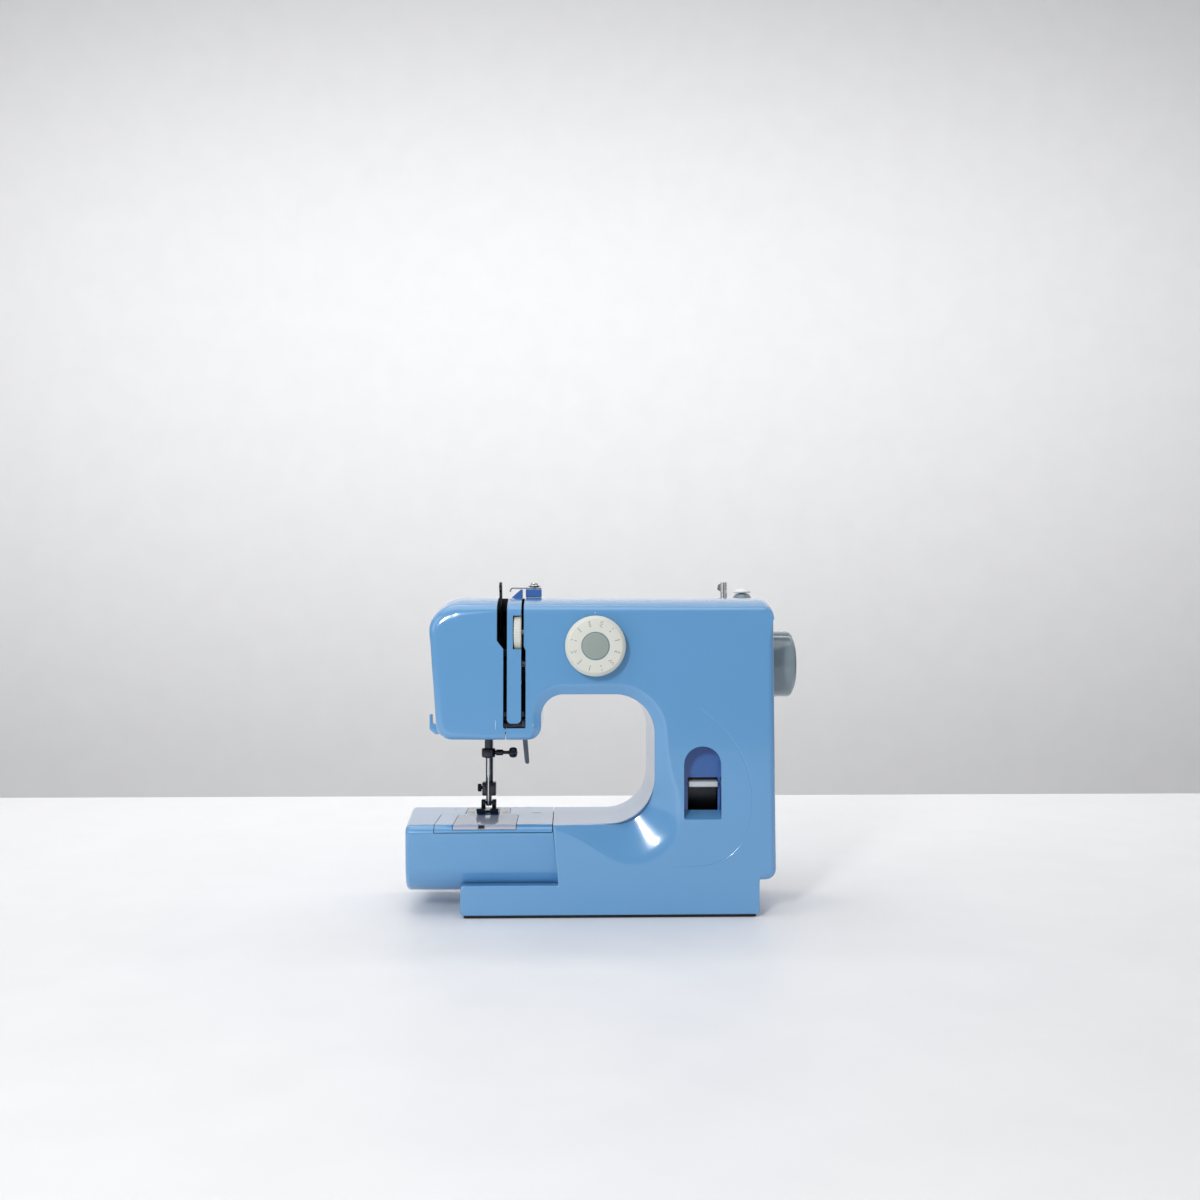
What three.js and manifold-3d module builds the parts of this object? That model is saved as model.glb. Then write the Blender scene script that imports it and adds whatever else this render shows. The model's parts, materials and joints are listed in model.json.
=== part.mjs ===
// Compact free-arm sewing machine. Millimetres, +Z up, the user sits on the -Y side.
// X runs from the needle end (-X) to the handwheel (+X). The machine rests on z = 0.
import * as THREE from 'three';
import { mergeVertices } from 'three/addons/utils/BufferGeometryUtils.js';
import Module from 'manifold-3d';

const wasm = await Module();
wasm.setup();

// Casing
const FRONT = -55;
const BACK = 52;
const SEAM = 10.85;
const GAP = 0.3;
const WALL = 2.6;
const EDGE = 3.5;
const BASE_BOTTOM = 2.2;
const BASE_TOP = 24.6;
const BED_TOP = 69.8;
const HEAD_BOTTOM = 134.2;
const CREST = 243.2;
const STEP_X = -35.7;
const STEP_FOOT_X = -31.5;
const STEP_FOOT_Z = 27.6;
const ARM_FRONT_LEFT = -147;
const ARM_BACK_LEFT = -154.5;
const ARM_CLEARANCE = 1.2;
const ARM_WALL = 2.4;
const FACE_SEAM_X = -71.4;
const SLOT_BACK = -9;

// Axes of the moving parts
const NEEDLE_X = -88.4;
const NEEDLE_Y = 12;
const PRESSER_Y = 24;
const CLAMP_Z = 118.8;
const PLATE_SCREWS = [-102.6, -75.2];
const PLATE_SCREW_Y = 18;
const HOOK_Y = -10;
const SHAFT_Y = 3;
const SHAFT_Z = 190.5;
const LOWER_Y = -10;
const LOWER_Z = 30;
const MOTOR_Y = 22;
const MOTOR_Z = 70;
const DIAL_X = -3.6;
const DIAL_Z = 205.4;
const TENSION_Y = -43;
const TENSION_Z = 215.7;
const LEVER_Y = -5;
const LEVER_Z = 99;
const RECESS_X = 78.1;
const LEVER_X = 79.9;
const TAKE_UP_Y = -8;
const TAKE_UP_Z = 200;
const LIFTER_X = -62;
const LIFTER_Y = 28;
const LIFTER_Z = 140;
const LIFTER_LEAN = 0.1;
const SPOOL_X = 105.6;
const WINDER_X = 121;
const TOP_PIN_Y = 30;
const GUIDE_X = -50.9;
const GUIDE_Y = -15;
const SWITCH_Y = 26;
const SWITCH_Z = 78;
const INLET_Z = 50;

const FINISHES = {
  blue: { color: 0x679acb, roughness: 0.3, metalness: 0 },
  cream: { color: 0xd2d2c8, roughness: 0.4, metalness: 0 },
  grey: { color: 0x788790, roughness: 0.35, metalness: 0 },
  paleGrey: { color: 0xc8cdcd, roughness: 0.4, metalness: 0 },
  white: { color: 0xe8e8e4, roughness: 0.4, metalness: 0 },
  black: { color: 0x1c1c1e, roughness: 0.5, metalness: 0 },
  rubber: { color: 0x161616, roughness: 0.85, metalness: 0 },
  clear: { color: 0xc4cede, roughness: 0.1, metalness: 0 },
  steel: { color: 0xb4b6b8, roughness: 0.3, metalness: 1 },
  darkSteel: { color: 0x55585c, roughness: 0.35, metalness: 1 },
  chrome: { color: 0xd8dadc, roughness: 0.12, metalness: 1 },
  cast: { color: 0x8c9094, roughness: 0.6, metalness: 1 },
  brass: { color: 0xb89a52, roughness: 0.35, metalness: 1 },
  glass: { color: 0xf4f0e0, roughness: 0.1, metalness: 0 },
};

const machine = new THREE.Group();
machine.name = 'sewing_machine';

// ---------------------------------------------------------------- helpers

// A closed body from a geometry, turned outward whichever way it was drawn.
function solid(geometry) {
  const plain = geometry.clone();
  plain.deleteAttribute('normal');
  plain.deleteAttribute('uv');
  const merged = mergeVertices(plain, 1e-4);
  const position = merged.attributes.position;
  const corners = [0, 1, 2].map(() => new THREE.Vector3());
  const triangles = [];
  let volume = 0;
  for (let i = 0; i < merged.index.count; i += 3) {
    const face = [0, 1, 2].map((k) => merged.index.getX(i + k));
    if (new Set(face).size < 3) continue;
    face.forEach((vertex, k) => corners[k].fromBufferAttribute(position, vertex));
    volume += corners[0].dot(corners[1].clone().cross(corners[2]));
    triangles.push(face);
  }
  const outward = volume > 0 ? triangles : triangles.map(([a, b, c]) => [a, c, b]);
  return new wasm.Manifold(new wasm.Mesh({
    numProp: 3,
    vertProperties: new Float32Array(position.array),
    triVerts: new Uint32Array(outward.flat()),
  }));
}

function part(name, body, finish) {
  const { vertProperties, triVerts } = body.getMesh();
  const geometry = new THREE.BufferGeometry();
  geometry.setAttribute('position', new THREE.Float32BufferAttribute(vertProperties, 3));
  geometry.setIndex([...triVerts]);
  geometry.computeVertexNormals();
  const mesh = new THREE.Mesh(geometry, new THREE.MeshStandardMaterial(FINISHES[finish]));
  mesh.name = name;
  machine.add(mesh);
}

const join = (...bodies) => bodies.reduce((sum, body) => sum.add(body));
const cut = (body, ...tools) => tools.reduce((rest, tool) => rest.subtract(tool), body);

function box(x0, x1, y0, y1, z0, z1) {
  const geometry = new THREE.BoxGeometry(x1 - x0, y1 - y0, z1 - z0);
  geometry.translate((x0 + x1) / 2, (y0 + y1) / 2, (z0 + z1) / 2);
  return solid(geometry);
}

// Points of a polygon whose corners [u, v, radius] are rounded by arcs.
function rounded(corners) {
  const arcStep = Math.PI / 10;
  return corners.flatMap(([u, v, radius = 0], i) => {
    const corner = new THREE.Vector2(u, v);
    if (radius === 0) return [corner];
    const before = new THREE.Vector2(...corners.at(i - 1)).sub(corner).normalize();
    const after = new THREE.Vector2(...corners[(i + 1) % corners.length]).sub(corner).normalize();
    const half = Math.acos(before.dot(after)) / 2;
    const middle = before.clone().add(after).normalize();
    const centre = corner.clone().addScaledVector(middle, radius / Math.sin(half));
    const start = corner.clone().addScaledVector(before, radius / Math.tan(half)).sub(centre);
    const end = corner.clone().addScaledVector(after, radius / Math.tan(half)).sub(centre);
    const turn = Math.atan2(start.cross(end), start.dot(end));
    const count = Math.max(2, Math.ceil(Math.abs(turn) / arcStep));
    return Array.from({ length: count + 1 }, (_, k) => (
      start.clone().rotateAround(new THREE.Vector2(), (turn * k) / count).add(centre)));
  });
}

// The same corners moved inward by a wall thickness (counter-clockwise outlines).
function inset(corners, wall) {
  return corners.map(([u, v, radius = 0], i) => {
    const corner = new THREE.Vector2(u, v);
    const before = corner.clone().sub(new THREE.Vector2(...corners.at(i - 1))).normalize();
    const after = new THREE.Vector2(...corners[(i + 1) % corners.length]).sub(corner).normalize();
    const bend = before.cross(after);
    const shift = after.clone().sub(before).multiplyScalar(wall / bend);
    const smaller = bend > 0 ? Math.max(radius - wall, 0) : radius + wall;
    return [u + shift.x, v + shift.y, radius === 0 ? 0 : smaller];
  });
}

const PLANES = {
  x: [[0, 1, 0], [0, 0, 1], [1, 0, 0]],
  y: [[1, 0, 0], [0, 0, 1], [0, -1, 0]],
  z: [[1, 0, 0], [0, 1, 0], [0, 0, 1]],
};

function orient(geometry, axis) {
  const columns = PLANES[axis].map((column) => new THREE.Vector3(...column));
  return geometry.applyMatrix4(new THREE.Matrix4().makeBasis(...columns));
}

// An outline pushed along an axis from `low` to `high`; both ends get a rounded edge if asked.
function slab(axis, points, low, high, edge = 0) {
  const geometry = new THREE.ExtrudeGeometry(new THREE.Shape(points), {
    depth: high - low - 2 * edge,
    bevelEnabled: edge > 0,
    bevelThickness: edge,
    bevelSize: edge,
    bevelOffset: -edge,
    bevelSegments: 3,
  });
  orient(geometry, axis);
  const start = axis === 'y' ? -(high - edge) : low + edge;
  const direction = new THREE.Vector3(...PLANES[axis][2]);
  return solid(geometry.translate(...direction.multiplyScalar(start)));
}

const rect = (u0, u1, v0, v1, r = 0) => rounded([[u0, v0, r], [u1, v0, r], [u1, v1, r], [u0, v1, r]]);

// A turned body: profile points [radius, height along the axis], set at [x, y, z].
function turned(axis, profile, at, segments = 24) {
  const outline = profile.map(([radius, height]) => new THREE.Vector2(radius, height));
  const geometry = new THREE.LatheGeometry(outline, segments);
  if (axis === 'x') geometry.rotateZ(-Math.PI / 2);
  if (axis === 'z') geometry.rotateX(Math.PI / 2);
  return solid(geometry.translate(...at));
}

// A round bar from `low` to `high` along an axis; `at` gives the two other coordinates.
function bar(axis, radius, low, high, at, segments = 24) {
  const profile = [[0, low], [radius, low], [radius, high], [0, high]];
  const [a, b] = at;
  const place = { x: [0, a, b], y: [a, 0, b], z: [a, b, 0] }[axis];
  return turned(axis, profile, place, segments);
}

function ring(axis, outer, inner, low, high, at, segments = 24) {
  return cut(bar(axis, outer, low, high, at, segments), bar(axis, inner, low - 1, high + 1, at, segments));
}

// Outline of a belt round two pulleys in the YZ plane.
function beltOutline([ya, za, ra], [yb, zb, rb]) {
  const heading = Math.atan2(zb - za, yb - ya);
  const lean = Math.acos((ra - rb) / Math.hypot(yb - ya, zb - za));
  const steps = 16;
  const arc = (y, z, radius, from, to) => Array.from({ length: steps + 1 }, (_, k) => {
    const angle = from + ((to - from) * k) / steps;
    return new THREE.Vector2(y + radius * Math.cos(angle), z + radius * Math.sin(angle));
  });
  return [
    ...arc(ya, za, ra, heading + lean, heading + 2 * Math.PI - lean),
    ...arc(yb, zb, rb, heading - lean, heading + lean),
  ];
}

function belt(name, x0, x1, pulleyA, pulleyB) {
  const thickness = 1.8;
  const grow = ([y, z, radius], by) => [y, z, radius + by];
  const full = GAP + thickness;
  const outer = slab('x', beltOutline(grow(pulleyA, full), grow(pulleyB, full)), x0, x1);
  const inner = slab('x', beltOutline(grow(pulleyA, GAP), grow(pulleyB, GAP)), x0 - 1, x1 + 1);
  part(name, cut(outer, inner), 'rubber');
}

// ---------------------------------------------------------------- casing

const BODY_CORNERS = [
  [STEP_FOOT_X, STEP_FOOT_Z], [134.6, STEP_FOOT_Z, 8], [133.2, CREST + 0.4, 8], [-132, CREST + 0.4, 24],
  [-123.7, HEAD_BOTTOM, 12], [-44.6, HEAD_BOTTOM, 10], [-44.6, 168.5, 17], [41.8, 168.5, 30],
  [41.8, BED_TOP, 34], [STEP_X, BED_TOP],
];
const BASE_CORNERS = [
  [-105.3, BASE_BOTTOM, 2.5], [121.3, BASE_BOTTOM, 2.5], [121.3, 45], [STEP_FOOT_X, 45],
  [STEP_FOOT_X, BASE_TOP], [-105.3, BASE_TOP, 2.5],
];
const CROWN_CORNERS = [
  [-70, -5], [70, -5], [70, 210], [51.5, 231, 4], [46, 237.2, 9], [14, CREST - 0.5, 90],
  [-20, CREST, 60], [-49, 237.2, 5], [-55.6, 228], [-70, 210],
];

function bodyVolume(wall) {
  const column = slab('y', rounded(inset(BODY_CORNERS, wall)), FRONT + wall, BACK - wall, EDGE - wall * 0.5);
  const base = slab('y', rounded(inset(BASE_CORNERS, wall)), FRONT + wall, BACK - wall, wall > 0 ? 0 : 1.5);
  const crown = slab('x', rounded(inset(CROWN_CORNERS, wall)), -200, 200);
  return join(column, base).intersect(crown);
}

// The free arm leans back at the front, curls under to its bottom and gets longer to the back.
const ARM_PROFILE = [[-44.5, 16.2, 26], [BACK, 16.2, 6], [BACK, BED_TOP, 2.5], [-54.6, BED_TOP, 7]];
const ARM_PLAN = [[ARM_FRONT_LEFT, -54.6, 5], [0, -54.6], [0, BACK], [ARM_BACK_LEFT, BACK, 5]];

function armVolume(wall, right) {
  const length = slab('x', rounded(inset(ARM_PROFILE, wall)), ARM_BACK_LEFT - 1, right);
  return length.intersect(slab('z', rounded(inset(ARM_PLAN, wall)), 0, 100));
}

// Clearance for the arm where the base passes in front of and below it.
function armClearance() {
  const left = ARM_BACK_LEFT - 10;
  return slab('x', rounded(inset(ARM_PROFILE, -ARM_CLEARANCE)), left, STEP_X + GAP);
}

function reverseRecess(grow, y0, y1) {
  const half = 14.2 + grow;
  const sill = 73.6 - grow;
  const arch = [
    [RECESS_X - half, sill, 2], [RECESS_X + half, sill, 2],
    [RECESS_X + half, 129.1 + grow, half - 0.1], [RECESS_X - half, 129.1 + grow, half - 0.1],
  ];
  return slab('y', rounded(arch), y0, y1);
}

function recessTub() {
  const floor = -39;
  const wall = 2;
  const leverOpening = box(LEVER_X - 11.6, LEVER_X + 11.6, floor, floor + 10, 60, 104);
  const ramp = slab('x', rounded([[-60, 70], [floor + GAP, 70], [floor + GAP, 79], [FRONT, 73.6]]), 60, 96);
  return {
    tub: reverseRecess(wall, FRONT + 1.5, floor + wall),
    pocket: join(reverseRecess(0, FRONT - 2, floor).subtract(ramp), leverOpening),
  };
}

function casing() {
  const { tub, pocket } = recessTub();
  const shell = cut(
    join(bodyVolume(0).subtract(bodyVolume(WALL)), tub),
    pocket,
    armClearance(),
    box(-45, -20, -38, 44, 25.5, 64),
    box(-112, -50, -8, 47, HEAD_BOTTOM - 4, HEAD_BOTTOM + 4),
    bar('y', 5, FRONT - 5, -45, [DIAL_X, DIAL_Z]),
    bar('x', 8.5, 125, 140, [SHAFT_Y, SHAFT_Z]),
    bar('z', 3.3, 230, 250, [SPOOL_X, TOP_PIN_Y]),
    box(WINDER_X - 4, WINDER_X + 8, TOP_PIN_Y - 3.6, TOP_PIN_Y + 3.6, 230, 250),
    box(125, 140, SWITCH_Y - 8.3, SWITCH_Y + 8.3, SWITCH_Z - 11.3, SWITCH_Z + 11.3),
    box(125, 140, SWITCH_Y - 10.3, SWITCH_Y + 10.3, INLET_Z - 8.3, INLET_Z + 8.3),
  );
  const front = shell.intersect(box(-200, 200, -100, SEAM - GAP / 2, -10, 300));
  const slots = join(box(-78.3, -57, -60, SLOT_BACK, 209, 300), box(-73.5, -57, -60, SLOT_BACK, 143.1, 212));
  const slotted = front.subtract(slots);
  part('front_cover', slotted.subtract(box(-200, FACE_SEAM_X + GAP / 2, -100, 100, 100, 300)), 'blue');
  part('face_cover', slotted.intersect(box(-200, FACE_SEAM_X - GAP / 2, -100, 100, 100, 300)), 'blue');
  part('rear_cover', shell.intersect(box(-200, 200, SEAM + GAP / 2, 100, -10, 300)), 'blue');
  tensionHousing(front);
}

// The tongue between the two thread slots, with the window of the tension dial.
function tensionHousing(front) {
  const tongueOutline = rounded([[-70.7, 146.7, 3.5], [-59.6, 146.7, 3.5], [-59.6, 300], [-70.7, 300]]);
  const tongue = slab('y', tongueOutline, -60, SLOT_BACK - GAP);
  const window = box(-66.1, -58, -60, -30, 202.9, 228.5);
  const finOutline = rounded([[-68.6, 241], [-59.8, 241], [-59.8, 249.8], [-61.4, 249.8], [-68.6, 243.4]]);
  const fin = slab('y', finOutline, -21, -10);
  part('tension_housing', front.intersect(tongue).add(fin).subtract(window), 'blue');
}

function bottomPlate() {
  part('bottom_plate', slab('z', rect(-103, 119, -53, 50, 3), 0, BASE_BOTTOM - GAP), 'rubber');
}

function freeArm() {
  const stepFace = slab('y', rounded([
    [STEP_X, 0], [0, 0], [0, 90], [STEP_X - GAP, 90], [STEP_X - GAP, BED_TOP],
    [STEP_FOOT_X - GAP, STEP_FOOT_Z], [STEP_FOOT_X - GAP, BASE_TOP + GAP], [STEP_X, BASE_TOP + GAP],
  ]), -80, 80);
  const shell = cut(armVolume(0, STEP_FOOT_X), armVolume(ARM_WALL, 0), stepFace);
  const bedZone = box(-125.7, 0, -80, 6.9, 64, 90);
  const plateZone = box(-106.8, -71, 6, 40.3, 60, 90);
  part('arm_cover', cut(shell, bedZone, plateZone), 'blue');

  const panel = shell.intersect(box(-125.4, STEP_X - GAP, -80, 6.6, 64.3, 90));
  part('bed_cover', panel.subtract(box(-111.6, -63.4, -80, 1.2, 66.2, 90)), 'blue');

  const cover = shell.intersect(box(-111.3, -63.7, -80, 0.9, 66.5, 90));
  part('bobbin_cover', cover.subtract(box(-92.3, -87.3, -80, -46.6, 67.1, 90)), 'clear');
  const catchProfile = [[-48.5, 67.4], [-48.5, 69.4], [-50.2, 69], [-51.8, 68], [-51.8, 67.4]];
  part('cover_latch', slab('x', rounded(catchProfile), -92, -87.6), 'black');
}

// ---------------------------------------------------------------- bed

function needlePlate() {
  const plate = slab('z', rect(-106.5, -71.3, 7.2, 40, 1.5), BED_TOP - 2, BED_TOP);
  const feedSlots = [-96.4, -84.6].map((x) => box(x, x + 4.2, 10, 31, 60, 80));
  const needleHole = bar('z', 1.8, 60, 80, [NEEDLE_X, NEEDLE_Y], 16);
  const screwHoles = PLATE_SCREWS.map((x) => bar('z', 2.5, 60, 80, [x, PLATE_SCREW_Y], 16));
  part('needle_plate', cut(plate, needleHole, ...feedSlots, ...screwHoles), 'steel');
}

function plateScrews() {
  PLATE_SCREWS.forEach((x, i) => {
    const profile = [[0, 62], [1.4, 62], [1.4, 68], [2.2, 68], [2.2, BED_TOP], [0, BED_TOP]];
    const screw = turned('z', profile, [x, PLATE_SCREW_Y, 0], 16);
    const slot = box(x - 3, x + 3, PLATE_SCREW_Y - 0.3, PLATE_SCREW_Y + 0.3, BED_TOP - 0.6, 80);
    part(`plate_screw_${i + 1}`, screw.subtract(slot), 'steel');
  });
}

function feedDog() {
  const carrier = box(-97, -79.8, 16, 27, 62, 65);
  const ribs = [-95.8, -84].map((x) => box(x, x + 3, 13, 28, 63, BED_TOP - 0.1));
  const notches = Array.from({ length: 9 }, (_, i) => {
    const y = 13.6 + i * 1.6;
    return box(-99, -78, y, y + 0.7, BED_TOP - 0.9, 80);
  });
  part('feed_dog', cut(join(carrier, ...ribs), ...notches), 'steel');
}

function hookAssembly() {
  const at = [NEEDLE_X, HOOK_Y, 0];
  const cup = [[0, 36.6], [9, 36.6], [10, 39], [5, 39.6], [5, 44], [20.2, 44], [20.2, 62],
    [18.9, 62], [18.9, 46], [0, 46]];
  part('rotary_hook', turned('z', cup, at, 28), 'steel');
  const holder = [[0, 46.4], [18.5, 46.4], [18.5, 61.6], [12, 63], [11, 63], [11, 48], [0, 48]];
  part('bobbin_case', turned('z', holder, at, 28), 'black');
  const bobbin = [[2.9, 48.6], [10.2, 48.6], [10.2, 49.6], [5.5, 49.6], [5.5, 59.4],
    [10.2, 59.4], [10.2, 60.4], [2.9, 60.4], [2.9, 48.6]];
  part('bobbin', turned('z', bobbin, at, 20), 'clear');
}

// ---------------------------------------------------------------- needle and presser bars

function needleBar() {
  const at = [NEEDLE_X, NEEDLE_Y];
  const socket = bar('z', 1.4, 110, 124, at, 12);
  part('needle_bar', bar('z', 3.2, 114.4, 225, at).subtract(socket), 'darkSteel');
  const clampHole = bar('x', 1.9, NEEDLE_X, NEEDLE_X + 9, [NEEDLE_Y, CLAMP_Z], 12);
  part('needle_clamp', ring('z', 5.6, 3.5, 115, 122.4, at).subtract(clampHole), 'darkSteel');
  const screw = [[0, 3.6], [1.6, 3.6], [1.6, 6], [2.4, 6.4], [2.4, 11.6], [1.4, 12], [1.4, 16.2], [2.4, 16.6],
    [4.2, 18.6], [4.2, 21.6], [2.6, 23.6], [0, 23.6]];
  part('needle_clamp_screw', turned('x', screw, [NEEDLE_X, NEEDLE_Y, CLAMP_Z], 20), 'darkSteel');
  const needle = [[0, 74.5], [0.25, 75.5], [0.5, 79], [0.5, 98], [1.05, 101], [1.05, 123], [0, 123]];
  part('needle', turned('z', needle, [...at, 0], 12), 'chrome');
}

function presserBar() {
  const at = [NEEDLE_X, PRESSER_Y];
  part('presser_bar', bar('z', 3, 86, 222, at), 'darkSteel');
  const tail = box(NEEDLE_X + 4, LIFTER_X + 2, PRESSER_Y - 3, PRESSER_Y + 3, 147.2, 151);
  const bore = bar('z', 3.3, 140, 170, at);
  part('presser_collar', bar('z', 6.2, 147.2, 157, at, 20).add(tail).subtract(bore), 'steel');
  part('presser_spring', springCoil(), 'steel');
}

function springCoil() {
  const turns = 6;
  const low = 158.6;
  const high = 206.4;
  const points = Array.from({ length: turns * 10 + 1 }, (_, i) => {
    const angle = (i / 10) * 2 * Math.PI;
    const height = low + ((high - low) * i) / (turns * 10);
    return new THREE.Vector3(NEEDLE_X + 4.8 * Math.cos(angle), PRESSER_Y + 4.8 * Math.sin(angle), height);
  });
  const wire = new THREE.Shape(Array.from({ length: 4 }, (_, i) => {
    const angle = (i * Math.PI) / 2;
    return new THREE.Vector2(0.9 * Math.cos(angle), 0.9 * Math.sin(angle));
  }));
  const path = new THREE.CatmullRomCurve3(points);
  return solid(new THREE.ExtrudeGeometry(wire, { extrudePath: path, steps: turns * 9 }));
}

function footHolder() {
  const x = NEEDLE_X;
  const block = slab('z', rect(x - 5.6, x + 5.6, 18.6, 29.6, 1.5), 83, 94);
  const shank = box(x - 2.2, x + 2.2, 17, 25, 75, 84);
  const pin = bar('x', 1.2, x - 6, x + 6, [20.5, 77.3], 12);
  const bore = bar('z', 3.3, 85.7, 100, [x, PRESSER_Y]);
  const screwHole = bar('x', 1.8, x - 9, x - 2, [PRESSER_Y, 89], 12);
  part('foot_holder', cut(join(block, shank, pin), bore, screwHole), 'darkSteel');
  const screw = [[0, -9.4], [3, -9.4], [3.2, -9], [3.2, -6.2], [1.5, -6.2], [1.5, -3.5], [0, -3.5]];
  part('foot_screw', turned('x', screw, [x, PRESSER_Y, 89], 18), 'darkSteel');
}

function presserFoot() {
  const x = NEEDLE_X;
  const plan = [
    [x - 2.2, -2, 1.5], [x - 2.2, 15], [x + 2.2, 15], [x + 2.2, -2, 1.5], [x + 8.8, -2, 3],
    [x + 8.8, 31, 2], [x - 8.8, 31, 2], [x - 8.8, -2, 3],
  ].reverse();
  const sole = slab('z', rounded(plan), BED_TOP + GAP, 72.4);
  const cheeks = [[-6, -2.6], [2.6, 6]].map(([a, b]) => (
    slab('x', rounded([[15.5, 71], [26, 71], [25, 80, 2], [16, 80, 2]]), x + a, x + b)));
  const pinHole = bar('x', 1.6, x - 10, x + 10, [20.5, 77.3], 12);
  part('presser_foot', cut(join(sole, ...cheeks), pinHole), 'darkSteel');
}

function barFrame() {
  const x = NEEDLE_X;
  const back = box(x - 10, x + 10, 31, 35, 140, 214);
  const guides = [[140, 146], [208, 214]].map(([z0, z1]) => box(x - 10, x + 10, 5, 32, z0, z1));
  const lifterPin = bar('x', 2, x, LIFTER_X + 6, [LIFTER_Y, LIFTER_Z + 1], 16);
  const takeUpPin = bar('x', 3, -84, -73.5, [TAKE_UP_Y, TAKE_UP_Z], 16);
  const takeUpLug = box(-84, -79.5, TAKE_UP_Y - 4, 6, TAKE_UP_Z - 4, 212);
  const bores = [NEEDLE_Y, PRESSER_Y].map((y) => bar('z', 3.5, 130, 220, [x, y]));
  part('bar_frame', cut(join(back, ...guides, lifterPin, takeUpPin, takeUpLug), ...bores), 'cast');
}

function presserLifter() {
  const y = LIFTER_Y;
  const z = LIFTER_Z;
  const blade = rounded([
    [y - 4.5, z + 5, 3], [y - 4.5, z - 6], [y - 1, z - 30, 3], [y + 1.5, z - 32.3, 3],
    [y + 9.5, z - 32.3, 4], [y + 4.5, z - 6], [y + 4.5, z + 5, 3],
  ]);
  const lever = slab('x', blade, LIFTER_X, LIFTER_X + 3.6).warp((vertex) => {
    vertex[0] += LIFTER_LEAN * Math.max(0, z - 6 - vertex[2]);
  });
  const pivotBore = bar('x', 2.3, LIFTER_X - 5, LIFTER_X + 9, [y, z + 1], 16);
  part('presser_lifter', lever.subtract(pivotBore), 'grey');
}

function takeUpLever() {
  const eyeY = -36;
  const eyeZ = 250.8;
  const angle = Math.atan2(eyeZ - TAKE_UP_Z, eyeY - TAKE_UP_Y);
  const side = (width) => [Math.sin(angle) * width, -Math.cos(angle) * width];
  const [hy, hz] = side(4.5);
  const [ty, tz] = side(2);
  const blade = [
    [TAKE_UP_Y + hy, TAKE_UP_Z + hz], [eyeY + ty, eyeZ + tz],
    [eyeY - ty, eyeZ - tz], [TAKE_UP_Y - hy, TAKE_UP_Z - hz],
  ];
  const x0 = -77.4;
  const x1 = -75.2;
  const hub = bar('x', 6, x0, x1, [TAKE_UP_Y, TAKE_UP_Z]);
  const tip = bar('x', 4, x0, x1, [eyeY, eyeZ], 18);
  const eye = bar('x', 1.5, x0 - 1, x1 + 1, [eyeY, eyeZ], 12);
  const bore = bar('x', 3.3, x0 - 1, x1 + 1, [TAKE_UP_Y, TAKE_UP_Z], 16);
  part('take_up_lever', cut(join(hub, tip, slab('x', rounded(blade), x0, x1)), eye, bore), 'darkSteel');
}

function headDetails() {
  const bulb = [[0, 141], [3, 142], [6, 147], [6, 156], [4, 160], [4, 172], [0, 172]];
  part('lamp', turned('z', bulb, [-112, 24, 0], 16), 'glass');
  const hook = rounded([
    [-131.6, 140.6, 3], [-127, 136.6, 2], [-121.6, 137.4], [-123.5, 140], [-124.8, 143.6],
    [-129.4, 145.6, 0.6], [-129.6, 152.4, 0.8], [-131.6, 152.4, 0.8],
  ]);
  part('thread_cutter', slab('y', hook, -30, -22), 'blue');
}

// ---------------------------------------------------------------- controls

function stitchDial() {
  const at = [DIAL_X, 0, DIAL_Z];
  const rim = [[0, -67], [21, -67], [23, -65], [23, -55.6], [19, -55.4], [10, -55.4], [10, -55.3],
    [4.6, -55.3], [4.6, -44], [15, -44], [15, -38], [12, -38], [12, -32], [0, -32]];
  const capSeat = bar('y', 10.7, -70, -66.2, [DIAL_X, DIAL_Z], 32);
  part('stitch_dial', turned('y', rim, at, 32).subtract(capSeat), 'cream');
  const cap = [[0, -67.4], [9.6, -67.4], [10.4, -67], [10.4, -66.5], [0, -66.5]];
  part('dial_cap', turned('y', cap, at, 32), 'grey');
}

function tensionUnit() {
  const at = [0, TENSION_Y, TENSION_Z];
  const wheel = [
    [2.3, -65.4], [14, -65.4], [15, -64.4], [15, -60.7], [14, -59.7], [2.3, -59.7], [2.3, -65.4],
  ];
  part('tension_wheel', turned('x', wheel, at, 28), 'cream');
  part('tension_stud', bar('x', 2, -69.6, -52, [TENSION_Y, TENSION_Z], 12), 'steel');
}

function reverseLever() {
  const inner = 28.6;
  const outer = 30;
  const x0 = LEVER_X - 11.1;
  const x1 = LEVER_X + 11.1;
  const point = (radius, degrees) => {
    const angle = THREE.MathUtils.degToRad(degrees);
    return new THREE.Vector2(LEVER_Y - radius * Math.cos(angle), LEVER_Z + radius * Math.sin(angle));
  };
  const sweep = Array.from({ length: 10 }, (_, i) => -44 + i * 7);
  const shield = [...sweep.map((a) => point(outer, a)), ...sweep.reverse().map((a) => point(inner, a))];
  const arms = [[x0, x0 + 2], [x1 - 2, x1]].map(([a, b]) => (
    slab('x', [point(29.3, -30), point(29.3, 12), point(3, 110), point(3, -110)], a, b)));
  const hub = bar('x', 4, x0, x1, [LEVER_Y, LEVER_Z], 16);
  const body = join(slab('x', shield, x0, x1), hub, ...arms);
  part('lever_shield', body.add(bar('x', 2, x0 - 3, x1 + 3, [LEVER_Y, LEVER_Z], 12)), 'black');
  const grip = rect(-43.6, LEVER_Y - outer - 0.3, 96.4, 101.7, 1.4);
  part('reverse_lever', slab('x', grip, LEVER_X - 11.3, LEVER_X + 11.3, 0.8), 'paleGrey');
}

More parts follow.
